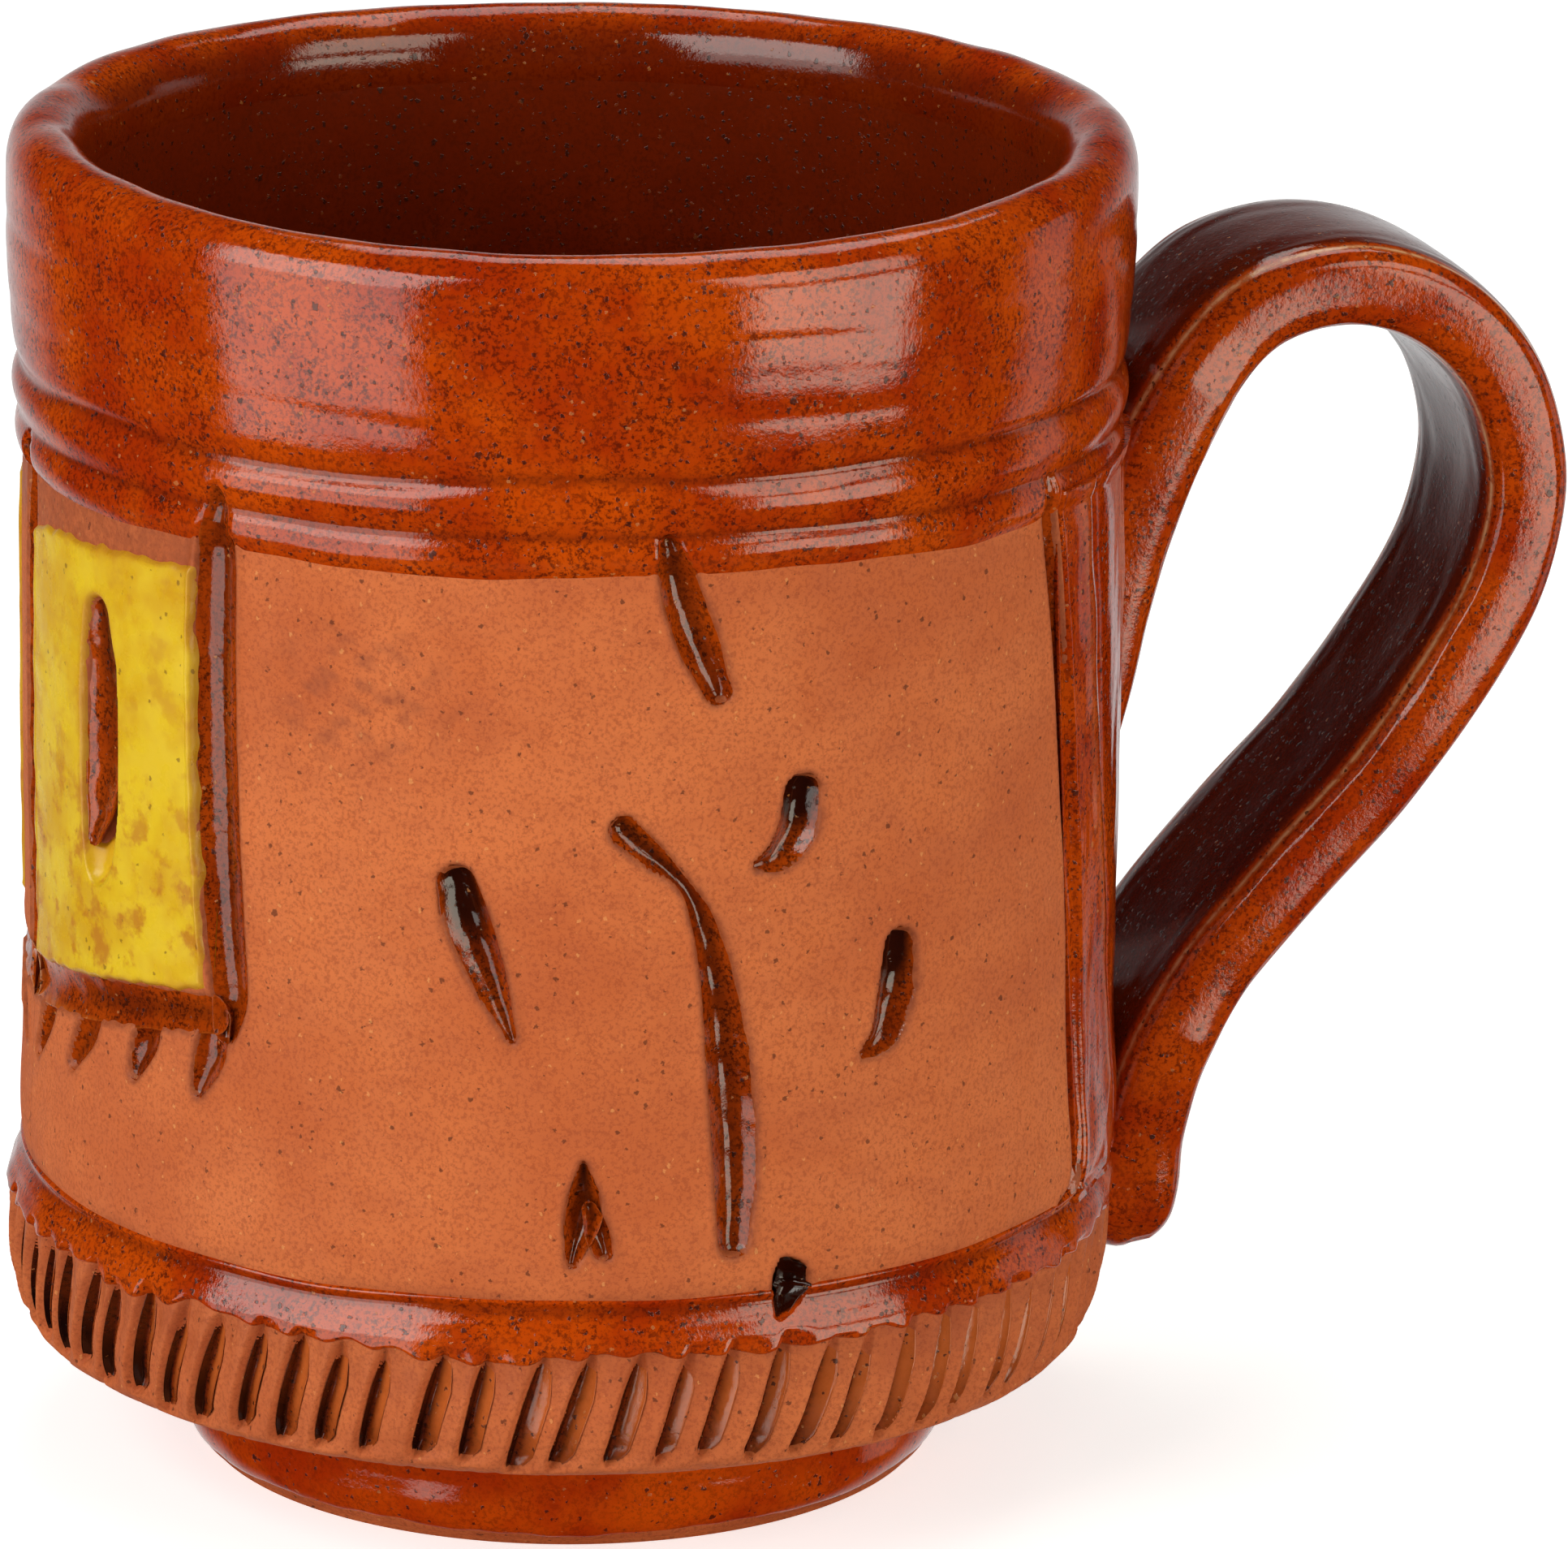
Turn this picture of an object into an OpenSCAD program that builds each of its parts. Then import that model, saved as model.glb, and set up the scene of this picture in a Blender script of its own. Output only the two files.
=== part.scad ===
// Thrown clay mug with a collar, a carved unglazed field, a notched band, a turned foot
// and a pulled strap handle. Millimetres, +Z up, handle along +X.
// The origin is on the cup's axis, on the flat underside of the foot.

/* [Cup] */
// Height of the finished mug
cup_h = 105; // [96:1:116]
// Diameter of the clay wall between the collar and the notched band
cup_d = 84; // [76:1:92]
// Thickness of the clay wall
wall_t = 4.9; // [4:0.1:6]
// Thickness of the clay floor above the foot
floor_t = 4; // [3:0.5:6]
// Radius between the inside wall and the floor
inner_corner_r = 6; // [4:0.5:9]
// How far the wall swells out just above the notched band
wall_swell = 0.5; // [0.2:0.1:0.8]

/* [Foot] */
// Diameter of the clay foot
foot_d = 60; // [52:1:66]
// Height of the foot
foot_h = 7; // [5:0.5:9]
// Radius of the foot's lower edge
foot_edge_r = 2; // [1:0.25:3]
// Rise of the cup's underside from the foot to the band
base_rise = 3.4; // [2:0.2:5]
// Radius between the cup's underside and its wall
base_round_r = 3; // [2:0.25:4]

/* [Collar] */
// Height of the plain collar, lip included
collar_h = 18.4; // [14:0.2:22]
// How far the collar stands out from the wall
collar_proud = 0.5; // [0.3:0.1:0.9]
// Height of each bead under the collar
bead_h = 3.4; // [2.6:0.1:4]
// Number of beads under the collar
bead_count = 2; // [1:1:3]
// How far a bead stands out from the wall
bead_proud = 0.25; // [0.1:0.05:0.5]
// Depth of the grooves between the beads
bead_groove = 0.4; // [0.2:0.05:0.6]

/* [Notched band] */
// Height of the band of clay round the shoulder
band_h = 12.8; // [10:0.2:15]
// How far the band stands out from the wall
band_proud = 1.65; // [1.2:0.05:2.2]
// Number of notches in a full turn
notch_count = 73; // [60:1:80]
// Width of the tool that cuts a notch
notch_w = 1.6; // [1.2:0.1:1.9]
// Length of a notch
notch_l = 7.6; // [6:0.2:8.4]
// Depth of a notch at the middle of the band
notch_depth = 1.1; // [0.8:0.05:1.15]
// Lean of the notches
notch_lean = 17; // [8:1:22]

/* [Glaze] */
// Thickness of a coat of glaze
glaze_t = 0.4; // [0.3:0.05:0.5]
// How far the glaze in a carved mark lies below the clay
pool_drop = 0.5; // [0.35:0.05:0.6]
// How far the glaze in a notch lies below the band's face
notch_pool_drop = 0.35; // [0.2:0.05:0.5]
// Bare strip left between two coats that end beside each other
coat_gap = 0.2; // [0.1:0.05:0.4]
// Height of the glaze above the notched band
shoulder_run = 1.2; // [0.8:0.1:1.8]

/* [Handle] */
// Reach of the handle from the wall
handle_reach = 36.5; // [30:0.1:40]
// Width of the strap
strap_w = 21; // [16:0.5:23]
// Thickness of the strap
strap_t = 7.4; // [5:0.1:8.4]
// Width of the glazed patch behind the handle, under the beads
patch_top_w = 58; // [52:1:60]
// Width of the glazed patch behind the handle, above the band
patch_foot_w = 46; // [42:1:48]

/* [Carving] */
// Angle from the handle to the outer edge of a yellow panel
panel_outer_angle = 145.2; // [143:0.1:148]
// Angle from the handle to the inner edge of a yellow panel
panel_inner_angle = 178.4; // [176:0.1:178.6]
// Bare wall left between a panel and the notched band
panel_foot_gap = 20; // [18:0.5:24]
// Depth of the bare wall left over the panels
panel_top_gap = 2.4; // [1.6:0.2:4]
// Thickness of the yellow glaze
panel_glaze_t = 0.35; // [0.25:0.05:0.5]
// Width of the grooves beside the panels
frame_w = 2.3; // [1.8:0.1:2.4]
// Depth of the grooves beside the panels
frame_depth = 1.15; // [1:0.05:1.3]
// Depth of the sunk ledge under the panels
ledge_depth = 0.8; // [0.7:0.05:0.9]
// Height of the sunk ledge under the panels
ledge_h = 3; // [2:0.2:4]
// Length of the fringe under the panels
fringe_l = 5.4; // [4:0.2:7]
// Yellow left above and below the slit
slit_end_gap = 5.3; // [4:0.1:7]
// Width of the slit in a panel
slit_w = 4.7; // [3.6:0.1:5.2]
// Depth of the slit in a panel
slit_depth = 1.6; // [1.2:0.1:2]
// Widest carved stroke
stroke_w = 3.4; // [2.6:0.1:3.8]

/* [Hidden] */
$fn = 256;

// One overrun for every cut
over = 1;

wall_r = cup_d / 2;
foot_r = foot_d / 2;
bore_r = wall_r - wall_t;
rim_z = cup_h - glaze_t;
rim_t = wall_t + collar_proud;
collar_z = cup_h - collar_h;
field_top_z = collar_z - bead_count * bead_h;
band_z = foot_h + base_rise;
band_top_z = band_z + band_h;
field_z = band_top_z + shoulder_run;
field_h = field_top_z - field_z;
floor_z = foot_h + floor_t;

// The lip's two roundings, as shares of the rim's thickness
lip_outer_share = 0.55;
lip_inner_share = 0.4;
lip_outer_r = rim_t * lip_outer_share;
lip_inner_r = rim_t * lip_inner_share;

// The swell starts at the band and dies out at this share of the bare field
swell_peak_share = 0.05;
swell_end_share = 0.22;
swell_peak_z = field_z + field_h * swell_peak_share;
swell_end_z = field_z + field_h * swell_end_share;

// The collar's foot as shares: [height, how far it stands out]
collar_shape_share = [[0.05, 0.55], [0.2, 0.75], [0.5, 1]];

// The band's face as shares of its height and of how far it stands out
band_shape_share = [
  [0, -0.2], [0.18, 0.65], [0.42, 1], [0.6, 0.98], [0.76, 0.85], [0.9, 0.45]
];
// The glaze of the shoulder starts at this point of the band's face
shoulder_start = 4;

// Steps of the rounded corners, and of a bead
corner_steps = 4;
foot_steps = 4;
foot_coat_step = 2;
bead_steps = 4;

function arc(centre, r, from, to, steps) = [
  for (i = [0:steps])
    let (a = from + (to - from) * i / steps)
    centre + r * [cos(a), sin(a)]
];

// Radius of the bare wall at a height, with its swell
function wall_at(z) = wall_r + wall_swell * (
  z <= band_top_z || z >= swell_end_z ? 0
  : z < swell_peak_z ? (z - band_top_z) / (swell_peak_z - band_top_z)
  : (swell_end_z - z) / (swell_end_z - swell_peak_z)
);

// The clay cup's outline, from the middle of its underside round to the middle of its floor
under_pts = concat(
  [[0, foot_h], [foot_r, foot_h]],
  arc([wall_r - base_round_r, band_z + base_round_r], base_round_r, -90, 0, corner_steps)
);
field_pts = [
  for (z = [band_top_z, field_z, swell_peak_z, swell_end_z]) [wall_at(z), z]
];
bead_pts = [
  for (b = [0:bead_count - 1])
    for (i = [b == 0 ? 1 : 0:bead_steps - 1])
      [
        wall_r - bead_groove + (bead_groove + bead_proud) * sin(180 * i / bead_steps),
        field_top_z + bead_h * (b + i / bead_steps)
      ]
];
collar_pts = concat(
  [[wall_r, field_top_z]],
  bead_pts,
  [[wall_r - bead_groove, collar_z]],
  [for (s = collar_shape_share) [wall_r + collar_proud * s[1], collar_z + collar_h * s[0]]],
  arc([wall_r + collar_proud - lip_outer_r, rim_z - lip_outer_r], lip_outer_r, 0, 90,
    corner_steps)
);
lining_pts = concat(
  arc([bore_r + lip_inner_r, rim_z - lip_inner_r], lip_inner_r, 90, 180, corner_steps),
  arc([bore_r - inner_corner_r, floor_z + inner_corner_r], inner_corner_r, 0, -90,
    corner_steps),
  [[0, floor_z]]
);
cup_pts = concat(under_pts, field_pts, collar_pts, lining_pts);
collar_start = len(under_pts) + len(field_pts);
lining_start = collar_start + len(collar_pts);

// The band's outer face, and the part of the cup that it lies on
band_pts = [
  for (s = band_shape_share) [wall_r + band_proud * s[1], band_z + band_h * s[0]]
];
band_seat_pts = concat([for (i = [2:len(under_pts) - 1]) under_pts[i]], [field_pts[0]]);

// The foot's outline below the cup
foot_edge_pts = arc([foot_r - foot_edge_r, foot_edge_r], foot_edge_r, -90, 0, foot_steps);
foot_pts = concat([[0, 0]], foot_edge_pts, [[foot_r, foot_h], [0, foot_h]]);

// Outward direction of an outline at one of its points
function facing(pts, i) =
  let (
    d = pts[min(i + 1, len(pts) - 1)] - pts[max(i - 1, 0)]
  )
  [d[1], -d[0]] / norm(d);

// A stretch of an outline with a coat of thickness t on it
function coat(pts, from, to, t) = concat(
  [for (i = [from:to]) pts[i]],
  [for (i = [to:-1:from]) pts[i] + t * facing(pts, i)]
);

shoulder_pts = concat(
  [for (i = [shoulder_start:len(band_pts) - 1]) band_pts[i]],
  [field_pts[0], field_pts[1]]
);
foot_coat_pts = concat(
  [for (i = [foot_coat_step:foot_steps]) foot_edge_pts[i]],
  [[foot_r, foot_h], under_pts[2]]
);
patch_pts = [
  for (z = [field_z + coat_gap, swell_peak_z, swell_end_z, field_top_z - coat_gap])
    [wall_at(z), z]
];

// The filled shape of the clay without the handle
module clay_envelope() {
  rotate_extrude()
    polygon(concat(
      [[0, 0], [foot_r, 0], [foot_r, foot_h], under_pts[2]],
      band_pts,
      field_pts,
      collar_pts,
      [[0, rim_z]]
    ));
}

// The same shape with its coats of glaze
module glazed_envelope() {
  rotate_extrude()
    polygon(concat(
      [[0, 0], [foot_r, 0], [foot_r, foot_h], under_pts[2]],
      [for (i = [0:shoulder_start]) band_pts[i]],
      [for (i = [0:len(shoulder_pts) - 1]) shoulder_pts[i] + glaze_t * facing(shoulder_pts, i)],
      [for (i = [0:len(patch_pts) - 1]) patch_pts[i] + glaze_t * facing(patch_pts, i)],
      [
        for (i = [collar_start:lining_start - 1])
          cup_pts[i] + glaze_t * facing(cup_pts, i)
      ],
      [[0, cup_h]]
    ));
}

// Everything deeper than the surface of the glaze in the carved marks
module pool_envelope(drop) {
  rotate_extrude()
    polygon(concat(
      [[0, band_top_z]],
      [for (p = field_pts) [p[0] - drop, p[1]]],
      [[wall_r - drop, field_top_z], [0, field_top_z]]
    ));
}

// The strap's centre line as shares: [reach, height of the bare field]
strap_path_share = [
  [-0.123, 0.556], [-0.083, 0.645], [-0.047, 0.745], [0.003, 0.85], [0.078, 0.969],
  [0.187, 1.079], [0.339, 1.159], [0.557, 1.184], [0.768, 1.143], [0.93, 1.044],
  [1, 0.901], [0.966, 0.765], [0.857, 0.64], [0.653, 0.47], [0.433, 0.332],
  [0.248, 0.206], [0.131, 0.085], [0.082, -0.029], [0.076, -0.11], [0.048, -0.165]
];
strap_steps = 2;
strap_sides = 12;
// A flat oval: the power of its sine and cosine
strap_squareness = 0.4;
// Angles of the rings that round off the strap's lower end
tail_angles = [28, 52, 74];
path_reach = handle_reach - strap_t / 2;
strap_path = [
  for (s = strap_path_share) [wall_r + path_reach * s[0], field_z + field_h * s[1]]
];
path_last = len(strap_path) - 1;

// Smooth curve through four points, between the middle two
function between(a, b, c, d, t) = (
  2 * b + (c - a) * t + (2 * a - 5 * b + 4 * c - d) * t * t
  + (3 * b - a - 3 * c + d) * t * t * t
) / 2;

function path_at(i, t) = between(
  strap_path[max(i - 1, 0)], strap_path[i], strap_path[min(i + 1, path_last)],
  strap_path[min(i + 2, path_last)], t
);

strap_line = concat(
  [for (i = [0:path_last - 1]) for (k = [0:strap_steps - 1]) path_at(i, k / strap_steps)],
  [strap_path[path_last]]
);
line_last = len(strap_line) - 1;

function flat_oval(v) = sign(v) * pow(abs(v), strap_squareness);

// One ring of the strap: half width a along Y and half thickness b along the way it faces
function strap_ring(p, out, a, b) = [
  for (k = [0:strap_sides - 1])
    let (
      w = a * flat_oval(cos(360 * k / strap_sides)),
      h = b * flat_oval(sin(360 * k / strap_sides))
    )
    [p[0] + out[0] * h, w, p[1] + out[1] * h]
];

// The strap as one closed tube, smaller by inset all round and longer by run_on at its top
module strap(inset, run_on) {
  a = strap_w / 2 - inset;
  b = strap_t / 2 - inset;
  end_out = facing(strap_line, line_last);
  end_on = [-end_out[1], end_out[0]];
  start_out = facing(strap_line, 0);
  start_on = [-start_out[1], start_out[0]];
  rings = concat(
    run_on > 0 ? [strap_ring(strap_line[0] - run_on * start_on, start_out, a, b)] : [],
    [for (i = [0:line_last]) strap_ring(strap_line[i], facing(strap_line, i), a, b)],
    [
      for (t = tail_angles)
        strap_ring(strap_line[line_last] + end_on * b * sin(t), end_out,
          a - b * (1 - cos(t)), b * cos(t))
    ]
  );
  last = len(rings) - 1;
  points = [for (r = rings) each r];
  sides = [
    for (i = [0:last - 1])
      for (k = [0:strap_sides - 1])
        let (
          n = (k + 1) % strap_sides,
          p = i * strap_sides,
          q = p + strap_sides
        )
        each [[p + k, p + n, q + n], [p + k, q + n, q + k]]
  ];
  caps = [
    [for (k = [strap_sides - 1:-1:0]) k],
    [for (k = [0:strap_sides - 1]) last * strap_sides + k]
  ];
  polyhedron(points = points, faces = concat(sides, caps));
}

// A point on the wall at an angle from the handle and a share of the field's height
function on_wall(a, share) =
  let (z = field_z + field_h * share, r = wall_at(z))
  [r * cos(a), r * sin(a), z];

// A closed tube of flat facets round the line from p to q, from rings of [place, radius]
gouge_sides = 6;

module gouge_tube(p, q, rings) {
  along = (q - p) / norm(q - p);
  across = cross(along, [p[0], p[1], 0]) / norm(cross(along, [p[0], p[1], 0]));
  deep = cross(across, along);
  last = len(rings) - 1;
  points = concat(
    [
      for (g = rings)
        for (k = [0:gouge_sides - 1])
          let (t = 360 * k / gouge_sides)
          p + along * g[0] + g[1] * (across * cos(t) + deep * sin(t))
    ],
    [p + along * rings[0][0], p + along * rings[last][0]]
  );
  tips = len(rings) * gouge_sides;
  faces = [
    for (k = [0:gouge_sides - 1])
      let (n = (k + 1) % gouge_sides)
      each concat(
        [[tips, n, k], [tips + 1, last * gouge_sides + k, last * gouge_sides + n]],
        [
          for (i = [0:last - 1])
            let (a = i * gouge_sides, b = a + gouge_sides)
            each [[a + k, a + n, b + n], [a + k, b + n, b + k]]
        ]
      )
  ];
  polyhedron(points = points, faces = faces);
}

// A gouge from p to q with blunt ends, of radius rp and rq
gouge_blunt_share = 0.5;

module gouge(p, q, rp, rq) {
  length = norm(q - p);
  blunt = gouge_blunt_share;
  gouge_tube(p, q, [[-rp, rp * blunt], [0, rp], [length, rq], [length + rq, rq * blunt]]);
}

// Carved strokes as points: [angle from the handle, share of the field, share of the width]
stroke_share = [
  [[-93.3, 0.97, 0.82], [-89.2, 0.833, 0.2]],
  [[-80.5, 0.684, 1], [-81, 0.629, 0.75], [-85, 0.593, 0.2]],
  [[-68.7, 0.456, 0.95], [-69.4, 0.364, 0.8], [-73, 0.313, 0.2]],
  [[-115.2, 0.575, 1], [-110, 0.371, 0.2]],
  [
    [-98.5, 0.66, 0.75], [-92.3, 0.571, 0.35], [-89.3, 0.451, 0.7], [-87.6, 0.278, 1],
    [-87.4, 0.075, 0.9]
  ],
  [[-102.7, 0.191, 0.2], [-102.5, 0.065, 0.85]]
];

// The strokes on one side, and their mirror image on the other
module strokes() {
  for (side = [0, 1])
    mirror([0, side, 0])
      for (s = stroke_share)
        for (i = [0:len(s) - 2])
          gouge(
            on_wall(s[i][0], s[i][1]), on_wall(s[i + 1][0], s[i + 1][1]),
            s[i][2] * stroke_w / 2, s[i + 1][2] * stroke_w / 2
          );
}

// The long grooves that border the glazed patch: [angle, share of the field]
border_share = [[-47, 0.97], [-38.2, 0.07]];
border_width_share = 0.75;

module borders() {
  r = stroke_w * border_width_share / 2;
  for (side = [0, 1])
    mirror([0, side, 0])
      gouge(
        on_wall(border_share[0][0], border_share[0][1]),
        on_wall(border_share[1][0], border_share[1][1]), r, r
      );
}

panel_top_z = field_top_z - panel_top_gap;
panel_z = field_z + panel_foot_gap;
panel_h = panel_top_z - panel_z;
slit_l = panel_h - 2 * slit_end_gap;
panel_mid_angle = (panel_outer_angle + panel_inner_angle) / 2;
frame_a = frame_w / wall_r * 180 / PI;
// Bare angle left between a panel and the groove beside it
frame_gap_a = 2;
frame_outer_angle = panel_outer_angle - frame_a / 2 - frame_gap_a;
ledge_z = panel_z - ledge_h;

// A block bent round the wall between two radii, two heights and two angles
module wall_block(r0, r1, z0, z1, a0, a1) {
  rotate([0, 0, a0])
    rotate_extrude(angle = a1 - a0)
      polygon([[r0, z0], [r1, z0], [r1, z1], [r0, z1]]);
}

// Fringe under each panel: [angle of the top, angle of the point, share of the ledge]
fringe_share = [
  [143.5, 145.6, 0.9], [152.1, 154.8, 0.75], [162.4, 166.6, 0.7], [173.2, 177, 0.6]
];
fringe_width_share = 0.66;
fringe_point_share = 0.15;

module fringe() {
  r = stroke_w * fringe_width_share / 2;
  for (side = [0, 1])
    mirror([0, side, 0])
      for (f = fringe_share) {
        top = ledge_z + ledge_h * f[2] - field_z;
        gouge(
          on_wall(f[0], top / field_h), on_wall(f[1], (top - fringe_l) / field_h),
          r, stroke_w * fringe_point_share / 2
        );
      }
}

// The grooves beside the panels run a share of the ledge's height below it
frame_foot_share = 0.25;

// The grooves beside the panels and the ledge below them
module frame_cuts() {
  r1 = wall_r + over;
  for (a = [frame_outer_angle, 180, 360 - frame_outer_angle])
    wall_block(wall_r - frame_depth, r1, ledge_z - ledge_h * frame_foot_share, panel_top_z,
      a - frame_a / 2, a + frame_a / 2);
  wall_block(wall_r - ledge_depth, r1, ledge_z, panel_z, frame_outer_angle, 360 - frame_outer_angle);
}

// The slits: long ovals, as shares [place along the slit, radius]
slit_shape_share = [
  [0, 0.15], [0.12, 0.65], [0.35, 0.97], [0.65, 0.97], [0.88, 0.65], [1, 0.15]
];
slit_r = (slit_depth * slit_depth + slit_w * slit_w / 4) / (2 * slit_depth);

module slits() {
  lift = wall_r - slit_depth + slit_r;
  foot = panel_z + slit_end_gap;
  for (side = [0, 1])
    mirror([0, side, 0])
      gouge_tube(
        [lift * cos(panel_mid_angle), lift * sin(panel_mid_angle), foot],
        [lift * cos(panel_mid_angle), lift * sin(panel_mid_angle), foot + slit_l],
        [for (s = slit_shape_share) [slit_l * s[0], slit_r * s[1]]]
      );
}

// Notches sit a little below the middle of the band, and are left out behind the strap
notch_place_share = 0.47;
notch_z = band_z + band_h * notch_place_share;
notch_pitch = 360 / notch_count;
strap_half_a = asin((strap_w / 2 + notch_w) / wall_r);

// Each notch is a wedge, notch_w wide where it meets the band's face
module notches() {
  reach = notch_depth + over;
  spread = notch_w / notch_depth * reach / 2;
  for (i = [0:notch_count - 1])
    let (a = i * notch_pitch)
    if (a > strap_half_a && a < 360 - strap_half_a)
      rotate([0, 0, a])
        translate([wall_r + band_proud - notch_depth, 0, notch_z])
          rotate([-notch_lean, 0, 0])
            linear_extrude(height = notch_l, center = true)
              polygon([[0, 0], [reach, -spread], [reach, spread]]);
}

module body() {
  color("sandybrown")
    difference() {
      rotate_extrude() polygon(cup_pts);
      strokes();
      borders();
      frame_cuts();
      fringe();
      slits();
    }
}

module foot() {
  color("peru") rotate_extrude() polygon(foot_pts);
}

module notched_band() {
  color("chocolate")
    difference() {
      rotate_extrude()
        polygon(concat(
          band_seat_pts, [for (i = [len(band_pts) - 1:-1:0]) band_pts[i]]
        ));
      notches();
      strap(glaze_t, 0);
    }
}

module handle() {
  color("sienna")
    difference() {
      strap(glaze_t, 0);
      clay_envelope();
    }
}

module lining_glaze() {
  color("maroon")
    rotate_extrude() polygon(coat(cup_pts, lining_start, len(cup_pts) - 1, glaze_t));
}

module collar_glaze() {
  color("brown")
    difference() {
      rotate_extrude() polygon(coat(cup_pts, collar_start, lining_start, glaze_t));
      strap(glaze_t, 0);
    }
}

module shoulder_glaze() {
  color("firebrick")
    difference() {
      rotate_extrude() polygon(coat(shoulder_pts, 0, len(shoulder_pts) - 1, glaze_t));
      strap(glaze_t, 0);
    }
}

module foot_glaze() {
  color("saddlebrown")
    rotate_extrude() polygon(coat(foot_coat_pts, 0, len(foot_coat_pts) - 1, glaze_t));
}

module handle_glaze() {
  color("indianred")
    difference() {
      strap(0, 0);
      strap(glaze_t, over);
      glazed_envelope();
    }
}

module handle_patch_glaze() {
  color("brown")
    difference() {
      intersection() {
        rotate_extrude() polygon(coat(patch_pts, 0, len(patch_pts) - 1, glaze_t));
        rotate([90, 0, 90])
          linear_extrude(height = cup_d)
            polygon([
              [-patch_foot_w / 2, field_z], [patch_foot_w / 2, field_z],
              [patch_top_w / 2, field_top_z], [-patch_top_w / 2, field_top_z]
            ]);
      }
      strap(glaze_t, 0);
    }
}

module panel_glaze() {
  color("gold")
    difference() {
      for (side = [0, 1])
        mirror([0, side, 0])
          wall_block(wall_r, wall_r + panel_glaze_t, panel_z, panel_top_z, panel_outer_angle,
            panel_inner_angle);
      slits();
    }
}

module panel_frame_glaze() {
  color("saddlebrown")
    intersection() {
      union() {
        frame_cuts();
        fringe();
      }
      pool_envelope(pool_drop);
    }
}

module slit_glaze() {
  color("darkgoldenrod")
    intersection() {
      slits();
      pool_envelope(pool_drop);
    }
}

module carving_glaze() {
  color("saddlebrown")
    intersection() {
      strokes();
      pool_envelope(pool_drop);
    }
}

module border_glaze() {
  color("saddlebrown")
    intersection() {
      borders();
      pool_envelope(pool_drop);
    }
}

module notch_glaze() {
  color("black")
    intersection() {
      notches();
      rotate_extrude()
        polygon(concat(
          [[0, band_z], [0, band_top_z]],
          [
            for (i = [len(band_pts) - 1:-1:0])
              [band_pts[i][0] - notch_pool_drop, band_pts[i][1]]
          ]
        ));
    }
}

body();
foot();
notched_band();
handle();
lining_glaze();
collar_glaze();
shoulder_glaze();
foot_glaze();
handle_glaze();
handle_patch_glaze();
panel_glaze();
panel_frame_glaze();
slit_glaze();
carving_glaze();
border_glaze();
notch_glaze();
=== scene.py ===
"""A clay mug with red-brown glaze: its visible surfaces, finishes, light and camera."""

from __future__ import annotations

import logging
import math
from dataclasses import dataclass
from enum import Enum

import bpy
import numpy as np
from mathutils import Matrix, Vector

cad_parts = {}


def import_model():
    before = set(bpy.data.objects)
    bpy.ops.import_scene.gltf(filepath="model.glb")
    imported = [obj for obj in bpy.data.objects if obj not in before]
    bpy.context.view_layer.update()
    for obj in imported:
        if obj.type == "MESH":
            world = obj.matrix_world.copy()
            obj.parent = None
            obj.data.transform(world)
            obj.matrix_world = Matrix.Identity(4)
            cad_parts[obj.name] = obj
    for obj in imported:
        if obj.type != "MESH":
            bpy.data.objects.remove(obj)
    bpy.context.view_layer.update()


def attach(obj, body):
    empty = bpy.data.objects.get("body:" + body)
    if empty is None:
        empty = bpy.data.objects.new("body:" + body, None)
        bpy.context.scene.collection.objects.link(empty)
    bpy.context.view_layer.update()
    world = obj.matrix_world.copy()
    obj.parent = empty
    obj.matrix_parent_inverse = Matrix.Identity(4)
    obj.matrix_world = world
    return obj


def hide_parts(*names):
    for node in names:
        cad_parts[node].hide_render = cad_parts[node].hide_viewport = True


LOG = logging.getLogger("mug")

# Lengths in this script are millimetres and angles degrees; meshes are written in metres
MM = 0.001
FULL_TURN = 360.0
HALF_TURN = 180.0
# The bare wall's radius, and that of the recess in the clay that its carved skin fills
WALL = 42.0
RECESS = 39.65
# Millimetres along the wall in one degree
PER_DEGREE = math.radians(1.0) * WALL
# The height where the bare wall starts
FIELD_FOOT = 24.4
# The farthest that the handle reaches from the axis
REACH = 78.47
# The side of the mug that faces the camera
FRONT = -104.5

Colour = tuple[float, float, float]
Pairs = tuple[tuple[float, float], ...]


class Mark(Enum):
    """Numbers that ride on the points for the shaders."""

    THICK = "thick"
    # near: edge stains on clay and yellow glaze; on the glaze at and inside the lip, painted shade and light
    NEAR = "near"


class Finish(Enum):
    """The finishes: each material's name and the record's material slot."""

    CLAY = ("bare_clay", "terracotta")
    AMBER = ("amber_glaze", "amber_glaze")
    FOOT = ("foot_amber_glaze", "amber_glaze")
    LINING = ("inner_glaze", "lining_glaze")
    GROOVE = ("groove_glaze", "groove_glaze")
    NOTCH = ("notch_glaze", "notch_glaze")
    YELLOW = ("yellow_glaze", "yellow_glaze")

    @property
    def title(self) -> str:
        """Returns the material's name."""
        return self.value[0]

    @property
    def slot(self) -> str:
        """Returns the record's material slot."""
        return self.value[1]


def ease(value: np.ndarray, low: float, high: float) -> np.ndarray:
    """Returns a smooth step from 0 at low to 1 at high."""
    t = np.clip((value - low) / (high - low), 0.0, 1.0)
    return t * t * (3.0 - 2.0 * t)


def hill(value: np.ndarray, middle: float, spread: float) -> np.ndarray:
    """Returns a smooth hill: 1 at its middle, falling off over its spread."""
    return np.exp(-(((value - middle) / spread) ** 2))


def wrapped(angle: np.ndarray) -> np.ndarray:
    """Returns an angle brought into the range from -180 to 180."""
    return (angle + HALF_TURN) % FULL_TURN - HALF_TURN


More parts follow.
